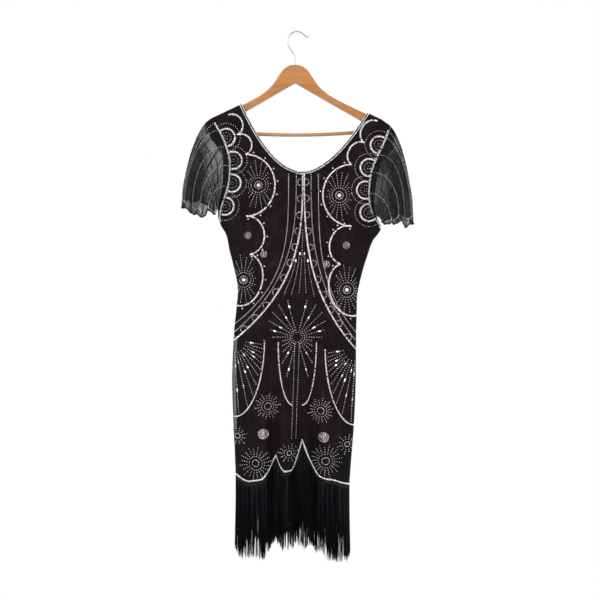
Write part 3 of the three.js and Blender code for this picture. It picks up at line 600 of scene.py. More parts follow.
def binding_row(panel, edge, far, lift):
    """A line that runs beside the neck edge, so far out on the panel, with its normals."""
    run = unit(np.gradient(edge[:, [0, 2]], axis=0))
    spots = []
    for point, (run_x, run_z) in zip(edge, run):
        x, z = point[0] + run_z * far, point[2] - run_x * far
        spots.append(seat(panel, x, z, lift) or seated_near(panel, (x, point[1], z), lift))
    return np.array([s[0] for s in spots]), np.array([s[1] for s in spots])


def bead_mesh(shape, places, runs, normals, sizes):
    """Points and faces of many beads of one shape, each turned along its run and its normal."""
    points, faces = shape
    runs = unit(runs)
    sides = unit(np.cross(normals, runs))
    ups = np.cross(runs, sides)
    axes = np.stack([runs, sides, ups], 1) * np.asarray(sizes)[:, :, None]
    made = np.einsum("pk,bkj->bpj", points, axes) + places[:, None, :]
    counts = np.arange(len(places)) * len(points)
    return made.reshape(-1, 3), [tuple(c + f for f in face) for c in counts.tolist() for face in faces]


def bugle_shape(sides):
    """A short many sided tube along X, with a length and width of one."""
    turn = np.arange(sides) * 2 * np.pi / sides
    points = np.array([(x, math.cos(a) / 2, math.sin(a) / 2) for x in (-0.5, 0.5) for a in turn])
    return points, tube_faces(2, sides)


def sewn(shape, lots):
    """Points and faces of all the beads in some lots (places, runs, normals, sizes)."""
    return bead_mesh(shape, *(np.concatenate([lot[k] for lot in lots]) for k in range(4)))


def lengths(line):
    """Length along a line, up to each of its points."""
    return np.concatenate([[0], np.cumsum(np.linalg.norm(np.diff(line, axis=0), axis=1))])


def at_lengths(at, walked, values):
    """Values at some lengths along a line, from those at its points."""
    return np.stack([np.interp(at, walked, column) for column in values.T], -1)


BUGLE = bugle_shape(6)

# Silver lined glass: the lining mirrors the room, so the beads are bright and nearly white, and
# a few pick up a faint rose or grey.
silver_lined, tree, shader, place = new_material("silver_lined_glass_beads", Metallic=1.0, Roughness=0.2)
lot = add_node(tree, "TexNoise", {"Vector": place, "Scale": 210, "Detail": 1})
tone = shades(tree, lot.outputs["Fac"], (0.3, "a5a4a8"), (0.44, "dcdbde"), (0.6, "f6f4f6"), (0.74, "e8c4cb"))
tree.links.new(tone, shader.inputs["Base Color"])
fine = add_node(tree, "TexNoise", {"Vector": place, "Scale": 700, "Detail": 2})
rough = add_node(tree, "MapRange", {"Value": fine.outputs["Fac"], "To Min": 0.1, "To Max": 0.4})
tree.links.new(rough.outputs["Result"], shader.inputs["Roughness"])

# Black satin, cut on the bias: smooth, with a soft low gloss.
satin, tree, shader, place = new_material("black_satin_strip", Roughness=0.42)
shader.inputs["Specular IOR Level"].default_value = 0.25
weave = {"Vector": place, "Scale": 520, "Distortion": 1.5}
twill = add_node(tree, "TexWave", weave, bands_direction="DIAGONAL")
tone = shades(tree, twill.outputs["Fac"], (0.2, "070608"), (0.8, "100e12"))
tree.links.new(tone, shader.inputs["Base Color"])
bump(tree, shader, twill.outputs["Fac"], 0.1, 0.4)

for panel, outward in FACE.items():
    edge = neck_edge(panel)
    points = np.concatenate([binding_row(panel, edge, far, lift)[0] for far, lift in STRIP_ROWS])
    faces = facing(points, grid_faces(len(STRIP_ROWS), len(edge)), outward)
    band = add_mesh(f"neck_binding_{panel}_satin", *shell(points, faces, BINDING_THICK), satin, "silver_bead")
    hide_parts(f"neck_binding_{panel}")
    lots = []
    for far, long in BEAD_ROWS:
        line, normal = binding_row(panel, edge, far, BEAD_LIFT)
        walked = lengths(line)
        at = np.arange(1.2, walked[-1] - 1, BUGLE_ROUND + 0.15)
        spot, up = at_lengths(at, walked, line), at_lengths(at, walked, normal)
        sizes = np.tile((long, BUGLE_ROUND, BUGLE_ROUND), (len(at), 1))
        lots.append((spot, np.cross(np.gradient(spot, axis=0), up), up, sizes))
    add_mesh(f"neck_binding_{panel}_beads", *sewn(BUGLE, lots), silver_lined, "silver_bead")

# Sleeves
# One layer of black net, cut flared and set into the armhole, so that it hangs in flutes and
# light shows through. Fine black cords make a trellis on it, with arcs of silver beads, and a
# black rolled edge waves along its hem.

SLEEVE_HEM = {  # share of the way from the front end over the arm to the back end, then x, y, z
    "left": [
        (0, -199, -11, -447), (0.13, -213, -21, -439), (0.26, -235, -29, -452),
        (0.39, -262, -26, -438), (0.5, -281, -8, -427), (0.62, -266, 16, -411),
        (0.75, -242, 27, -411), (0.88, -219, 21, -420), (1, -206, 12, -438),
    ],
    "right": [
        (0, 203, -13, -464), (0.13, 224, -23, -470), (0.26, 244, -29, -466),
        (0.39, 266, -24, -474), (0.5, 281, -6, -466), (0.62, 268, 17, -452),
        (0.75, 245, 26, -450), (0.88, 223, 20, -455), (1, 208, 12, -462),
    ],
}
SLEEVE_WAVES, SLEEVE_WAVE_Y, SLEEVE_WAVE_Z = 6.5, 6.5, 3
SLEEVE_CROWN, SLEEVE_HANG = 38, 0.42
RUFFLE_FROM, RUFFLE_Y, RUFFLE_Z = 0.8, 2.2, 1.8  # share of the way down, and its waves
SEAM_LEVELS = np.linspace(SLEEVE_LEVEL, 2, 70)
BY_LENGTH = 0.35
SLEEVE_ROWS, SLEEVE_COLUMNS = 56, 170
FACING_WIDE = 20
HEM_ROLL, CORD_ROUND, TRELLIS_ROUND = 1.9, 1.0, 0.95  # radii, as drawn so that they show
CORDS_DOWN = (0.08, 0.17, 0.27, 0.37, 0.46, 0.56, 0.68, 0.8, 0.91)  # shares round the armhole
CORDS_ACROSS = (0.3, 0.52, 0.74)  # shares of the way down
BEAD_LINES = (  # share round the armhole, and how far the line bends
    (0.12, 0.03), (0.23, 0.05), (0.33, 0.05), (0.425, 0.02), (0.46, 0.0), (0.5, 0.0),
    (0.545, 0.0), (0.64, -0.05), (0.76, -0.05), (0.88, -0.03),
)


def sleeve_seam(hand):
    """Points round the armhole, front over the arm to back, and the way each leaves the panel."""
    ends = []
    for panel in FACE:
        edge = panel_points(panel, SEAM_LEVELS, SIDE[hand])
        away = unit(edge - panel_points(panel, SEAM_LEVELS, SIDE[hand] * 0.965))
        ends.append((edge + away * (SEAM_GAP + 0.15), away))
    (front, front_away), (back, back_away) = ends
    top, top_away = (front[-1] + back[-1]) / 2, front_away[-1]
    points = np.concatenate([front[:-1], [top], back[:-1][::-1]])
    away = np.concatenate([front_away[:-1], [top_away], back_away[:-1][::-1]])
    return points, away


def sleeve_points(hand, share, down):
    """Points of the sleeve; share runs round the armhole, and down from the seam to the hem."""
    seam, away = sleeve_seam(hand)
    walked = lengths(seam)
    share, down = np.broadcast_arrays(np.asarray(share, float), np.asarray(down, float))
    # Shares run partly by length along the seam and partly by its points, which stand by level
    by_point = np.linspace(0, 1, len(walked))
    at = np.interp(share, by_point, lerp(by_point, walked / walked[-1], BY_LENGTH)) * walked[-1]
    start, leave = at_lengths(at, walked, seam), at_lengths(at, walked, away)
    hem = np.stack([along(SLEEVE_HEM[hand], share, k) for k in (1, 2, 3)], -1)
    reach = np.linalg.norm(start - hem, axis=-1)
    first = start + leave * np.minimum(SLEEVE_CROWN, reach * 0.3)[..., None]
    second = hem.copy()
    second[..., 2] += SLEEVE_HANG * (start[..., 2] - hem[..., 2])
    t = down[..., None]
    point = (1 - t) ** 3 * start + 3 * t * (1 - t) ** 2 * first + 3 * t ** 2 * (1 - t) * second + t ** 3 * hem
    wave = 2 * np.pi * SLEEVE_WAVES * share
    swing = down ** 1.6 * np.minimum(1, reach / 90)
    ruffle = swing * np.maximum(0, down - RUFFLE_FROM) / (1 - RUFFLE_FROM)
    point[..., 1] += SLEEVE_WAVE_Y * swing * np.sin(wave) + RUFFLE_Y * ruffle * np.sin(wave * 2.9 + 1)
    point[..., 0] += SIDE[hand] * SLEEVE_WAVE_Y * 0.5 * swing * np.sin(np.pi * share) * np.cos(wave)
    point[..., 2] += SLEEVE_WAVE_Z * swing * np.cos(wave + 0.6) + RUFFLE_Z * ruffle * np.sin(wave * 2.3)
    return point


# Single black net: threads 0.25 mm thick round 1.2 mm holes, too fine to show one by one, so
# its cells are drawn 2.4 mm wide. About half of the light comes through one layer. The outer part
# of each sleeve and all of the right one are drawn denser only to make them as dark as they look.
sheer = {}
for hand, thin, dense, doubled in (("left", 0.47, 0.7, 0.26), ("right", 0.6, 0.84, 0.08)):
    sheer[hand], tree, shader, place = new_material(f"sheer_black_net_{hand}", Roughness=0.7)
    shader.inputs["Specular IOR Level"].default_value = 0.08
    net = net_pattern(tree, place, 2.4, 0.2, (0.06, 0.24), (0.14, -0.05))
    stretched = add_node(tree, "Mapping", {"Vector": place, "Scale": (40, 40, 9)})
    soft = add_node(tree, "TexNoise", {"Vector": stretched.outputs[0], "Scale": 1, "Detail": 2})
    veil = add_node(tree, "MapRange", {"Value": soft.outputs["Fac"], "From Min": 0.35, "From Max": 0.65,
                                       "To Min": thin, "To Max": dense})
    apart = add_node(tree, "SeparateXYZ", {"Vector": place})
    out = add_node(tree, "Math", {0: apart.outputs["X"]}, operation="ABSOLUTE")
    gathered = add_node(tree, "MapRange", {"Value": out.outputs[0], "From Min": 0.212, "From Max": 0.24,
                                           "To Min": 0, "To Max": doubled})
    below = add_node(tree, "MapRange", {"Value": apart.outputs["Z"], "From Min": -0.25, "From Max": -0.3})
    folded = add_node(tree, "Math", {0: gathered.outputs["Result"], 1: below.outputs["Result"]},
                      operation="MULTIPLY")
    both = add_node(tree, "Math", {0: net, 1: veil.outputs["Result"]}, operation="ADD")
    alpha = add_node(tree, "Math", {0: both.outputs[0], 1: folded.outputs[0]}, operation="ADD",
                     use_clamp=True)
    tree.links.new(shades(tree, soft.outputs["Fac"], (0.3, "1c191b"), (0.7, "0f0d0f")),
                   shader.inputs["Base Color"])
    tree.links.new(alpha.outputs[0], shader.inputs["Alpha"])

# Twisted black cord, matt with a faint light along the ply.
black_cord, tree, shader, place = new_material("black_twisted_cord", Roughness=0.6)
shader.inputs["Specular IOR Level"].default_value = 0.2
ply = add_node(tree, "TexWave", {"Vector": place, "Scale": 420, "Distortion": 1}, bands_direction="DIAGONAL")
tone = shades(tree, ply.outputs["Fac"], (0.2, "050405"), (0.8, "0e0c0d"))
tree.links.new(tone, shader.inputs["Base Color"])
bump(tree, shader, ply.outputs["Fac"], 0.15, 0.5)


def joined(parts):
    """One set of points and faces from several."""
    points, faces, count = [], [], 0
    for part_points, part_faces in parts:
        points.append(part_points)
        faces += [tuple(int(count + f) for f in face) for face in part_faces]
        count += len(part_points)
    return np.concatenate(points), faces


def seed_shape():
    """A round bead of twenty faces, a little shorter along its thread."""
    g = (1 + 5 ** 0.5) / 2
    corners = [(-1, g, 0), (1, g, 0), (-1, -g, 0), (1, -g, 0), (0, -1, g), (0, 1, g), (0, -1, -g),
               (0, 1, -g), (g, 0, -1), (g, 0, 1), (-g, 0, -1), (-g, 0, 1)]
    faces = [(0, 11, 5), (0, 5, 1), (0, 1, 7), (0, 7, 10), (0, 10, 11), (1, 5, 9), (5, 11, 4),
             (11, 10, 2), (10, 7, 6), (7, 1, 8), (3, 9, 4), (3, 4, 2), (3, 2, 6), (3, 6, 8),
             (3, 8, 9), (4, 9, 5), (2, 4, 11), (6, 2, 10), (8, 6, 7), (9, 8, 1)]
    points = np.array(corners) / np.linalg.norm(corners[0]) / 2
    return points * (0.86, 1, 1), faces


SEED = seed_shape()


def paced(line, pitch):
    """Points a pitch apart on a line, and the line's direction at each."""
    walked = lengths(line)
    spot = at_lengths(np.arange(pitch / 2, walked[-1], pitch), walked, line)
    return spot, np.gradient(spot, axis=0)


for hand, outward in SIDE.items():
    shares, downs = np.linspace(0, 1, SLEEVE_COLUMNS + 1), np.linspace(0, 1, SLEEVE_ROWS + 1)
    grid = sleeve_points(hand, shares[None, :], downs[:, None])
    faces = grid_faces(len(downs), len(shares))
    sleeve = add_mesh(f"sleeve_{hand}_net", grid.reshape(-1, 3), faces, sheer[hand], "sheer_net")
    # A strip of the black lining faces the top of the armhole, beyond the shoulder
    sleeve.data.materials.append(net_over_lining)
    from_seam = np.linalg.norm(grid - grid[:1], axis=2)
    facing_wide = FACING_WIDE * np.interp(shares, (0, 0.28, 0.4, 0.6, 0.72, 1), (0, 0, 1, 1, 0, 0))
    lined = (from_seam < facing_wide).ravel()[faces].all(1)
    sleeve.data.polygons.foreach_set("material_index", lined.astype(int))
    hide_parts(f"sleeve_{hand}")
    hem = smooth_line(grid[-1][::2], 2)
    cords = [cord_mesh(hem, HEM_ROLL, 6), cord_mesh(smooth_line(grid[-4][::3], 2), 0.9, 4)]
    down = np.linspace(0.02, 0.99, 40)
    for at in CORDS_DOWN:
        line = sleeve_points(hand, at + 0.045 * np.sin(down * 3.4 + at * 9), down)
        cords.append(cord_mesh(line, CORD_ROUND, 5))
    share = np.linspace(0.02, 0.98, 90)
    for at in CORDS_ACROSS:
        line = sleeve_points(hand, share, at + 0.05 * np.sin(share * 17 + at * 20))
        cords.append(cord_mesh(line, TRELLIS_ROUND, 5))
    add_mesh(f"sleeve_{hand}_cords", *joined(cords), black_cord, "sheer_net")
    lines = []
    down = np.linspace(0, 1, 60)
    for at, bend in BEAD_LINES:
        lines.append(sleeve_points(hand, at + bend * np.sin(down * 2.6), down * 0.95 + 0.01))
    share = np.linspace(0.03, 0.97, 200)
    lines.append(sleeve_points(hand, share, 0.93 + 0.015 * np.cos(share * 60)))
    spots = [paced(line, 5.6) for line in lines]
    spot, run = (np.concatenate([s[k] for s in spots]) for k in (0, 1))
    up = np.zeros_like(spot)
    up[:, 0], up[:, 1] = 0.3 * outward, np.where(spot[:, 1] < -2, -1, 1)
    beads = bead_mesh(SEED, spot + up * 0.5, run, up, np.full((len(spot), 3), 2.5))
    add_mesh(f"sleeve_{hand}_beads", *beads, silver_lined, "silver_bead")

# Fringe
# Long threads of twisted black rayon, knotted close together into a narrow heading that is sewn
# under the hem. They hang straight, gather into loose locks and end unevenly.

FRINGE_HEADING, HEADING_THICK = 8, 1.4
FRINGE_LEAST, FRINGE_MOST = 150, 192
SHORT_SHARE, SHORT_BY, SHORTEST = 0.5, 72, 60  # half of the threads are shorter, by up to so much
LOCK_BREAK = 2.6  # the higher, the more threads hang together in a lock
FRINGE_ENDS = [  # height that the threads reach, across the dress
    (-150, -1262), (-140, -1275), (-78, -1277), (-62, -1262), (-20, -1248), (-2, -1256), (8, -1276),
    (20, -1270), (60, -1257), (74, -1284), (100, -1290), (127, -1280),
]
FRINGE_THREADS = 2600
THREAD_ROUND = 1.0
FRINGE_STEPS = 7

# Rayon thread: nearly black with a faint real gloss, and a cool painted highlight in its colour: pale blue
# grey streaks that run down each thread.
rayon, tree, shader, place = new_material("black_rayon_thread", Roughness=0.45)
shader.inputs["Specular IOR Level"].default_value = 0.06
streak = add_node(tree, "Mapping", {"Vector": place, "Scale": (420, 420, 5)})
painted_gloss = add_node(tree, "TexNoise", {"Vector": streak.outputs[0], "Scale": 1, "Detail": 2})
# The two palest stops are a painted highlight, streaking down the threads.
tone = shades(tree, painted_gloss.outputs["Fac"], (0.35, "030305"), (0.55, "08080c"), (0.7, "1f2028"), (0.8, "3a3b45"))
tree.links.new(tone, shader.inputs["Base Color"])

for panel, seed in (("front", 11), ("back", 12)):
    outward = FACE[panel]
    draw = np.random.default_rng(seed)
    across = np.linspace(-1, 1, 1601)
    hem = panel_points(panel, 0, across)
    walked = lengths(hem)
    at = (np.arange(FRINGE_THREADS) + draw.uniform(0.1, 0.9, FRINGE_THREADS)) / FRINGE_THREADS * walked[-1]
    root = at_lengths(at, walked, hem)
    inward = np.clip(1 - np.abs(np.interp(at, walked, across)), 0, 1)
    root[:, 1] -= outward * draw.uniform(0.2, 1.6, FRINGE_THREADS) * np.minimum(1, inward * 30)
    root[:, 2] -= 0.4
    lock = np.cumsum(draw.exponential(1, FRINGE_THREADS) > LOCK_BREAK)
    mid = np.array([at[lock == n].mean() for n in lock])
    pull = draw.uniform(0.05, 0.3, lock.max() + 1)[lock]
    sway = draw.normal(0, 1.3, lock.max() + 1)[lock] + draw.normal(0, 0.9, FRINGE_THREADS)
    depth = draw.normal(0, 1.8, lock.max() + 1)[lock] + draw.normal(0, 1.0, FRINGE_THREADS)
    long = root[:, 2] - np.interp(root[:, 0], *np.array(FRINGE_ENDS, float).T)
    long = np.clip(long, FRINGE_LEAST, FRINGE_MOST) + draw.normal(0, 3, lock.max() + 1)[lock]
    is_short = draw.random(FRINGE_THREADS) < SHORT_SHARE
    short = np.where(is_short, draw.uniform(0, SHORT_BY, FRINGE_THREADS), 0)
    long = long - np.maximum(short, np.abs(draw.normal(0, 7, FRINGE_THREADS)))
    long = np.clip(long, SHORTEST, FRINGE_MOST)
    t = np.linspace(0, 1, FRINGE_STEPS + 1)[None, :]
    line = np.repeat(root[:, None, :], FRINGE_STEPS + 1, 1)
    line[:, :, 2] -= long[:, None] * t
    line[:, :, 0] += ((mid - at) * pull * 0.8)[:, None] * t ** 1.5 + sway[:, None] * t ** 2
    line[:, :, 1] += outward * depth[:, None] * t ** 2
    turns = np.arange(3) * 2 * np.pi / 3
    ring = np.stack([np.cos(turns), np.sin(turns), np.zeros(3)], -1) * THREAD_ROUND / 2
    thin = (1 - 0.45 * t ** 3)[0]
    points = (line[:, :, None, :] + ring[None, None] * thin[None, :, None, None]).reshape(-1, 3)
    # The threads run down, so each face is turned over to look out
    faces = [face[::-1] for face in tube_faces(FRINGE_STEPS + 1, 3)]
    base = np.arange(FRINGE_THREADS)[:, None] * (FRINGE_STEPS + 1) * 3
    every = [tuple(f) for face in faces for f in (base + np.array(face)[None, :]).tolist()]
    fringe = add_mesh(f"fringe_{panel}_threads", points, every, rayon, "fringe_thread")
    heading = np.stack([hem[::6] - (0, 0, 0.3), hem[::6] - (0, 0, FRINGE_HEADING)])
    heading[:, :, 1] += outward * 0.15
    flat = facing(heading.reshape(-1, 3), grid_faces(2, heading.shape[1]), outward)
    band = shell(heading.reshape(-1, 3), flat, HEADING_THICK)
    tape = add_mesh(f"fringe_{panel}_heading", *band, black_cord, "fringe_thread")
    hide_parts(f"fringe_{panel}")
    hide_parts(f"fringe_{panel}")

# Beadwork
# Silver lined bugle beads, sewn side by side, draw the bold lines, and round beads the dotted
# ones. The motifs are the traditional scallops, fans and sunbursts of such dresses, set out by
# the rules below, in the same way on both sides and both panels.

SEED_ROUND, SEED_PITCH = 2.7, 6.0  # really 2 and 4.6, drawn coarser so that each bead shows
BUGLE_LONG, BUGLE_PITCH, BUGLE_LIFT = 4.4, 2.15, 1.0
HEM_BUGLE = (4.0, 2.2, 2.2)
BEADS_LOST = 0.03  # share of the bugle beads
BY_SEAM = 0.985  # share across, just inside the side seams
SEAT_STEP = 1.5  # how closely a line is laid on the cloth before beads are sewn along it
DISC_RING = 3.6  # from ring to ring of a cluster
RING_LEVELS = (1.15, 1.37, 1.59, 1.81)  # half rings, evenly up the armhole
HALF_RINGS = ((21, "bold", 5.0), (34, "dots", 2.5), (12, "dots", 2.4), (4, "dots", 2.0))  # radius, size
LOOP_ROUND, LOOP_TURN = 8, 105  # radius of the loops on the sweeping line, and half their turn
FAN_RAYS, FAN_FROM, FAN_TO = 11, 8, 86  # rays of a side fan, and their first and last dip
CHEST_OUT, CHEST_HALF = 30, 75  # cusps of the chest scallop, out from its stone and up or down
WAIST_IN, WAIST_HALF = 15, 62
SCALLOP_RISES = (24, 24, 70, 40, 46)  # from the shoulder down
SWEEP_END, SWEEP_POWER = 0.53, 3  # level where the sweeping lines meet the side seams
SIDE_LINES = ((18, 20, 3.0), (36, 40, 3.6))  # out at the neck, up at the side, power of the curve
FAN_WIDE, FAN_TALL = 74, 185  # quarter ellipse of each side fan
SPREAD, UPWARD, PETAL_WIDE, PETAL_TALL = 60, 34, 34, 150  # the middle fan and the petals under it
FLOWER_HIGH, SIDE_FLOWER_HIGH = 46, 100  # above the hem
STONE_PLACES = {}  # the four stones' own middles, from the frame
for name in ("chest_left", "chest_right", "waist_left", "waist_right"):
    low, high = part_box(f"stone_{name}")
    STONE_PLACES[name] = np.array([low[0] + high[0], low[2] + high[2]]) * 500


def cloth_at(panel, level, across):
    """x and z of places on a panel, by level and by share from the middle to the side."""
    return panel_points(panel, level, across)[..., [0, 2]]


def scallop(start, end, side, rise):
    """Half an ellipse from cusp to cusp that stands out towards the middle of the dress."""
    half = (end - start) / 2
    out = np.array([half[1], -half[0]]) / np.hypot(*half)
    out *= -side * np.sign(out[0]) * rise
    turn = np.linspace(0, np.pi, 48)[:, None]
    return (start + end) / 2 - half * np.cos(turn) + out * np.sin(turn)


def sweep_line(start, end, power):
    """A line that leaves the neck straight down and bends out to the side seam."""
    t = np.linspace(0, 1, 80)
    return np.stack([lerp(start[0], end[0], t ** power), lerp(start[1], end[1], t)], -1)


def on_panel(panel, line, pitch, lift):
    """Places, runs and normals along a line of (x, z), a pitch apart on the cloth."""
    line = np.asarray(line, float)
    walked = lengths(line)
    at = np.linspace(0, walked[-1], max(2, int(walked[-1] / SEAT_STEP) + 1))
    spots = [seat(panel, x, z, lift) for x, z in at_lengths(at, walked, line)]
    spots = [s for s in spots if s is not None]
    nothing = [np.zeros((0, 3))] * 3
    if len(spots) < 2:
        return nothing
    points, normals = (np.array([s[k] for s in spots]) for k in (0, 1))
    walked = lengths(points)
    if walked[-1] <= pitch * 1.5:
        return nothing
    at = np.arange(pitch / 2, walked[-1], pitch)
    place = at_lengths(at, walked, points)
    return place, np.gradient(place, axis=0), at_lengths(at, walked, normals)


def arc(x, z, radius, start=0.0, end=360.0, count=40):
    """Points (x, z) of an arc between two angles in degrees."""
    turn = np.radians(np.linspace(start, end, count))
    return np.stack([x + radius * np.cos(turn), z + radius * np.sin(turn)], -1)


def sequin_shape():
    """An eight sided sequin with a length and width of one, pointed above and flatter below."""
    rim = [(math.cos(a) / 2, math.sin(a) / 2, 0) for a in np.arange(8) * math.pi / 4]
    above = [(0, 2 + a, 2 + (a + 1) % 8) for a in range(8)]
    below = [(1, 2 + (a + 1) % 8, 2 + a) for a in range(8)]
    return np.array([(0, 0, 0.5), (0, 0, -0.3), *rim]), above + below


SEQUIN = sequin_shape()

# Sequins of clear film over silver: flat, glossy, and pale with a faint rose.
sequin_film, tree, shader, place = new_material("iridescent_sequins", Metallic=1.0, Roughness=0.16)
lot = add_node(tree, "TexNoise", {"Vector": place, "Scale": 130, "Detail": 2})
tone = shades(tree, lot.outputs["Fac"], (0.32, "b9bcc4"), (0.46, "f2f0f2"), (0.58, "f3dfe4"), (0.7, "dfb9c6"))
tree.links.new(tone, shader.inputs["Base Color"])

for panel, seed in (("front", 31), ("back", 32)):
    draw = np.random.default_rng(seed)
    bold, dotted, sequins = [], [], []

    def sew(line, kind="dots", pitch=None, size=None):
        """Sews beads along a line: bugles across it, or round beads on it."""
        if kind == "bold":
            spots, run, normal = on_panel(panel, line, pitch or BUGLE_PITCH, BUGLE_LIFT)
            # A few beads are lost, and none lies quite straight
            kept = draw.random(len(spots)) > BEADS_LOST
            across_line = unit(np.cross(run, normal))
            across_line = across_line + draw.normal(0, 0.16, across_line.shape)
            sizes = np.tile((size or BUGLE_LONG, 2.0, 2.0), (len(spots), 1))
            sizes[:, 0] *= draw.uniform(0.78, 1.08, len(spots))
            bold.append((spots[kept], across_line[kept], normal[kept], sizes[kept]))
        else:
            spots, run, normal = on_panel(panel, line, pitch or SEED_PITCH, 1.1)
            dotted.append((spots, run, normal, np.full((len(spots), 3), size or SEED_ROUND)))

    def sequin(x, z, way, long, wide, lift=1.4):
        """Sews on one sequin that points along an angle."""
        spot = seat(panel, x, z, lift)
        if spot is None:
            return
        run = np.array([math.cos(way), 0, math.sin(way)])
        tilt = spot[1] + draw.normal(0, 0.12, 3)
        sequins.append((spot[0][None], run[None], tilt[None], np.array([[long, wide, 2.2]])))

    def disc(x, z, radius, size):
        """A cluster of small round sequins, ring by ring."""
        for ring in range(int(radius / DISC_RING) + 1):
            count = max(1, ring * 5)
            far = ring * DISC_RING
            for n in range(count):
                a = 2 * np.pi * n / count + ring * 0.5
                sequin(x + far * math.cos(a), z + far * math.sin(a), a, size, size, 1.2)

    def burst(x, z, ring, first, reach, rays, pitch=SEED_PITCH, size=2.6):
        """A ring and dotted rays round a centre. reach(angle) is the length of a ray."""
        sew(arc(x, z, ring), pitch=3.2, size=2.5)
        for n in range(rays):
            a = 2 * np.pi * (n + 0.5) / rays
            far = reach(a) - (5 if n % 2 else 0)
            if far > first + 4:
                ray = [(x + r * math.cos(a), z + r * math.sin(a)) for r in (first, far)]
                sew(ray, pitch=pitch, size=size)

    opening = {}
    for hand, side in SIDE.items():
        # Armhole line, and the half rings that sit on it
        levels = np.linspace(1.0, 1.95, 70)
        edge_x, edge_z = edge_at(panel, levels, hand)
        line_x = edge_x - side * 2.5
        sew(np.stack([line_x, edge_z], -1), "bold", pitch=3.0, size=5.6)
        for level in RING_LEVELS:
            height = float(np.interp(level, levels, edge_z))
            at = float(np.interp(level, levels, line_x)) - side * 9
            for radius, kind, size in HALF_RINGS:
                start = 0 if side < 0 else 180
                line = arc(at, height, radius, start, start + 360, 90)
                limit = np.interp(line[:, 1], edge_z, line_x)
                shown = ((line[:, 0] - limit) * -side > 3) & (line[:, 1] < seam_height(line[:, 0]) - 6)
                # The shown part is one run once it starts after the longest gap
                first = int(np.argmax(shown & ~np.roll(shown, 1)))
                line = np.roll(line, -first, axis=0)[:int(shown.sum())]
                if len(line) > 3:
                    sew(line, kind, size=size)

        seam_x, seam_z = cloth_at(panel, np.linspace(0, 1, 200), side * BY_SEAM).T

        # Scallops: two small ones from the shoulder, one round each sunburst and one between them
        chest, waist = STONE_PLACES[f"chest_{hand}"], STONE_PLACES[f"waist_{hand}"]
        shoulder = cloth_at(panel, 1.96, side * 0.5)
        over, under = (chest + (side * CHEST_OUT, tall) for tall in (CHEST_HALF, -CHEST_HALF))
        last_z = waist[1] - WAIST_HALF
        last = np.array([np.interp(last_z, seam_z, seam_x), last_z])
        cusps = [shoulder, (shoulder + over) / 2, over, under, waist + (-side * WAIST_IN, WAIST_HALF), last]
        for n, (start, end, rise) in enumerate(zip(cusps, cusps[1:], SCALLOP_RISES)):
            line = scallop(start, end, side, rise)
            sew(line, "bold")
            if n > 1:
                spots, run, _ = on_panel(panel, line, 30, 1.2)
                for spot, way in zip(spots, run):
                    away = np.array([way[2], -way[0]]) / np.hypot(way[0], way[2])
                    away *= -side * np.sign(away[0])
                    sequin(spot[0] + away[0] * 7, spot[2] + away[1] * 7, 0, 3.4, 3.4)
        disc(*((cusps[3] + cusps[4]) / 2), 7.3, 2.5)
        disc(*(cusps[4] - (side * 34, 0)), 7.3, 2.5)

        # Line that sweeps from the neck to the side seam with loops along it, and two dotted ones
        root = cloth_at(panel, SWEEP_END, side * BY_SEAM)
        sweep = sweep_line((NECK_X + side * 2, NECK_Z - 6), root, SWEEP_POWER)
        sew(sweep, "bold")
        for out, up, power in SIDE_LINES:
            end_z = root[1] + up
            end = (np.interp(end_z, seam_z, seam_x), end_z)
            sew(sweep_line((NECK_X + side * out, NECK_Z - 5), end, power), pitch=5.0, size=3.2)
        spots, run, _ = on_panel(panel, sweep, 40, 1.2)
        for spot, way in zip(spots, run):
            face = math.atan2(way[2], way[0]) + side * math.pi / 2
            turn = math.degrees(face)
            x = spot[0] + LOOP_ROUND / 2 * math.cos(face)
            z = spot[2] + LOOP_ROUND / 2 * math.sin(face)
            sew(arc(x, z, LOOP_ROUND, turn - LOOP_TURN, turn + LOOP_TURN, 16), pitch=4.5, size=3.0)

        # Fan on the side of the skirt: rays from the side seam out to a quarter ellipse
        turn = np.linspace(0, np.pi / 2, 50)
        fan_edge = root + np.stack([-side * FAN_WIDE * np.cos(turn), -FAN_TALL * np.sin(turn)], -1)
        sew(fan_edge, "bold", pitch=2.4, size=3.6)
        opening[side] = np.concatenate([sweep, fan_edge])
        for n, dip in enumerate(np.radians(np.linspace(FAN_FROM, FAN_TO, FAN_RAYS))):
            way = np.array([-side * math.cos(dip), -math.sin(dip)])
            far = 1 / math.hypot(math.cos(dip) / FAN_WIDE, math.sin(dip) / FAN_TALL) - 6
            near = 28 + 10 * (n % 2)
            sew([root + way * near, root + way * far])
            for r in np.arange(near + 16 + 18 * (n % 3), far - 6, 60):
                sequin(*(root + way * r), math.atan2(way[1], way[0]), 9, 3.6)

    # Middle fan: even rays round a point on the middle line, out to the lines beside it
    centre = cloth_at(panel, SWEEP_END, 1e-6)
    sides = {side: line[np.argsort(line[:, 1])] for side, line in opening.items()}

    def beside(side, z):
        return np.interp(z, sides[side][:, 1], sides[side][:, 0])

    for side in (-1, 1):
        for n, turn in enumerate(np.radians(np.arange(15, 166, 15))):
            way = np.array([side * math.sin(turn), math.cos(turn)])
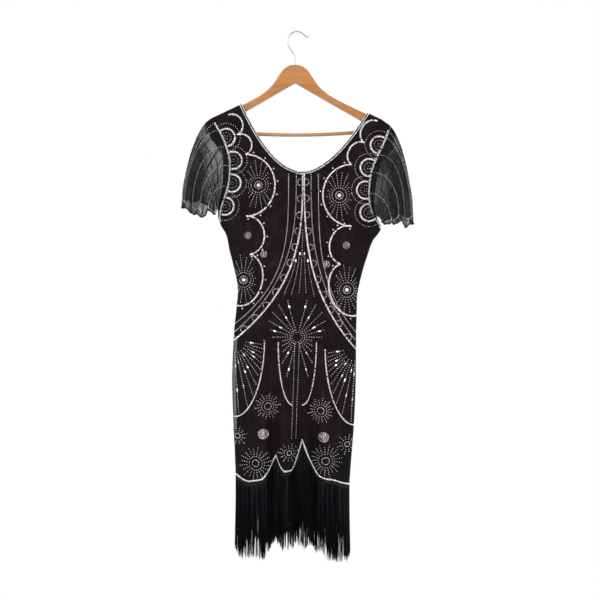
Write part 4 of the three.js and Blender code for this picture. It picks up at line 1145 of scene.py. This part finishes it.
            # Rays are longer the more they point up, and those below the middle end at the petals
            above = way[1] > -0.01
            reach = SPREAD + UPWARD * way[1] if above else min(100, (PETAL_WIDE + 2) / math.sin(turn))
            far = 10
            while far < reach:
                x, z = centre + way * far
                if (beside(side, z) - x) * side < 6:
                    break
                far += 2
            sew([centre + way * (9 + 5 * (n % 2)), centre + way * far])
            if n % 3 != 2 and far > SPREAD - 4:
                sequin(*(centre + way * far * (0.6 if n % 2 else 0.8)), math.atan2(way[1], way[0]), 8.5, 3.8)
    z = np.linspace(NECK_Z - 20, centre[1], 90)
    low, high = beside(-1, z), beside(1, z)
    for share in (1 / 6, 1 / 3, 1 / 2, 2 / 3, 5 / 6):
        x = low + (high - low) * share
        clear = (high - low) * min(share, 1 - share) > 7
        clear &= np.hypot(x - centre[0], z - centre[1]) > SPREAD + UPWARD + 8
        if share != 0.5:
            clear &= (high - low) / 6 > 5.5
            sequin(x[clear][0], z[clear][0], math.pi / 2, 8.5, 3.6)
        sew(np.stack([x, z], -1)[clear])

    # Two petals under the fan, and a double dotted line down the middle
    turn = np.linspace(0, np.pi / 2, 40)
    middle = cloth_at(panel, np.linspace(SWEEP_END - 0.02, 0.13, 60), 1e-6)
    for side in (-1, 1):
        sew(middle + (side * 5.5, 0), pitch=5.8)
        wide, tall = 12 + PETAL_WIDE * np.cos(turn), 12 + PETAL_TALL * np.sin(turn)
        sew(centre + np.stack([side * wide, -tall], -1), "bold", pitch=2.4, size=3.4)
        burst(*cloth_at(panel, 0.27, side * 0.43), 8, 12, lambda a: 32, 20, pitch=5.2)
        disc(*cloth_at(panel, 0.17, side * 0.5), 11, 3.0)

    # Sunbursts on the bust and the waist: round the glass stones on the front, and round a few
    # sequins on the back
    for x, z in STONE_PLACES.values():
        if panel == "back":
            disc(x, z, 3.6, 3.2)
        burst(x, z, 9.2, 15, lambda a: 30 + 34 * math.sin(a) ** 4, 24)

    # A flower in the middle of each scallop of the hem, and a small one by each side seam
    hem = cloth_at(panel, 0, np.linspace(-0.98, 0.98, 400))
    marks = [hem[0, 0], *(notch[0] for notch in NOTCHES[panel]), hem[-1, 0]]
    for start, end in zip(marks, marks[1:]):
        x = (start + end) / 2
        wide = min(42, 0.42 * (end - start))
        z = np.interp(x, *hem.T) + FLOWER_HIGH
        burst(x, z, wide * 0.2, wide * 0.34, lambda a: wide, round(wide * 0.5), pitch=5.6)
    for side in (-1, 1):
        x = hem[0 if side < 0 else -1, 0] - side * 4
        burst(x, np.interp(x, *hem.T) + SIDE_FLOWER_HIGH, 6, 10, lambda a: 25, 12, pitch=5.6)

    # The hem's edge, along every scallop and notch
    across = np.linspace(-0.9995, 0.9995, 1800)
    hem = panel_points(panel, 0.0062, across)
    spot, run = paced(hem, 2.3)
    normal = np.array([seated_near(panel, p, 0)[1] for p in spot])
    normal[:, 2] *= 0.2
    normal = unit(normal)
    sizes = np.tile(HEM_BUGLE, (len(spot), 1))
    bold.append((spot + normal * BUGLE_LIFT, np.cross(run, normal), normal, sizes))

    for name, shape, lots, material, smooth in (
        ("bugle_lines", BUGLE, bold, silver_lined, True),
        ("round_beads", SEED, dotted, silver_lined, True),
        ("sequins", SEQUIN, sequins, sequin_film, False),
    ):
        add_mesh(f"{panel}_{name}", *sewn(shape, lots), material, "silver_bead", smooth)

# Glass stones
# Four cut stones of clear glass on foil, each in the middle of a sunburst. They have a flat top,
# a ring of slanted facets and a thin silver seat.

STONE_ROUND, FACETS = 10, 12
# Share of the full width, height, and turn in facets of each ring of corners
STONE_RINGS = [(0.9, 0, 0), (1, 0.5, 0), (1, 0.9, 0.5), (0.74, 2.4, 0), (0.5, 3.4, 0.5)]

# Foiled glass: a bright mirror behind clear facets.
mirrored = {"Metallic": 0.85, "Roughness": 0.06, "Coat_Weight": 1.0}
cut_glass, tree, shader, place = new_material("foiled_cut_glass", **mirrored)
spark = add_node(tree, "TexVoronoi", {"Vector": place, "Scale": 420})
tree.links.new(shades(tree, spark.outputs["Distance"], (0.1, "ffffff"), (0.5, "d6dae2"), (0.9, "f4eef2")),
               shader.inputs["Base Color"])

for name, (x, z) in STONE_PLACES.items():
    spot, normal = seat("front", x, z, 0.5)
    side = unit(np.cross(normal, (0, 0, 1)))
    up = np.cross(normal, side)
    points = []
    for radius, tall, twist in STONE_RINGS:
        for n in range(FACETS):
            a = (n + twist) * 2 * math.pi / FACETS
            spoke = side * math.cos(a) + up * math.sin(a)
            points.append(spot + spoke * radius * STONE_ROUND / 2 + normal * tall)
    faces = tube_faces(len(STONE_RINGS), FACETS)
    stone = add_mesh(f"stone_{name}_cut", points, faces, cut_glass, "glass_stone", False)
    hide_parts(f"stone_{name}")

# Studio
# The dress hangs well above a pale floor, in front of plain white. Soft lights from both sides
# and from above leave no hard shadow.

FLOOR_RADIUS, FLOOR_FORWARD, FLOOR_HEIGHT = 0.95, 0.1, -1.9  # metres
floor_mesh = bpy.data.meshes.new("studio_floor")
ring = [(FLOOR_RADIUS * math.cos(a), FLOOR_RADIUS * math.sin(a) - FLOOR_FORWARD, FLOOR_HEIGHT)
        for a in np.arange(64) * math.pi / 32]
floor_mesh.from_pydata(ring, [], [list(range(64))])
studio_floor = bpy.data.objects.new("studio_floor", floor_mesh)
bpy.context.scene.collection.objects.link(studio_floor)
pale, tree, shader, place = new_material("pale_matt_floor", Roughness=0.8)
specks = add_node(tree, "TexNoise", {"Vector": place, "Scale": 30, "Detail": 4})
tone = shades(tree, specks.outputs["Fac"], (0.3, "eeece9"), (0.7, "f3f1ee"))
tree.links.new(tone, shader.inputs["Base Color"])
studio_floor.data.materials.append(pale)

world = bpy.data.worlds.new("white_studio")
bpy.context.scene.world = world
world.use_nodes = True
world.node_tree.nodes["Background"].inputs["Color"].default_value = (1, 1, 1, 1)
world.node_tree.nodes["Background"].inputs["Strength"].default_value = 1.0


def add_light(name, place_m, aim_m, size_m, watts):
    """A soft rectangular light that points at a place."""
    light = bpy.data.lights.new(name, "AREA")
    light.shape = "RECTANGLE"
    light.size, light.size_y = size_m
    light.energy = watts
    lamp = bpy.data.objects.new(name, light)
    lamp.location = place_m
    lamp.rotation_euler = (Vector(aim_m) - Vector(place_m)).to_track_quat("-Z", "Y").to_euler()
    bpy.context.scene.collection.objects.link(lamp)


add_light("key", (-1.5, -2.0, 0.6), (0, 0, -0.6), (1.2, 1.6), 42)
add_light("fill", (1.8, -1.7, -0.2), (0, 0, -0.7), (1.2, 1.8), 18)
add_light("rim", (0.6, 1.8, 0.7), (0, 0, -0.6), (1.4, 1.4), 22)

camera = bpy.data.cameras.new("photo_camera")
camera.lens, camera.sensor_width = 60.5, 36
camera.clip_start, camera.clip_end = 0.05, 30
shot = bpy.data.objects.new("photo_camera", camera)
shot.location = (0.0061, -2.46, -0.6537)
shot.rotation_euler = (math.pi / 2, 0, 0)
bpy.context.scene.collection.objects.link(shot)
bpy.context.scene.camera = shot
bpy.context.scene.view_settings.view_transform = "Standard"
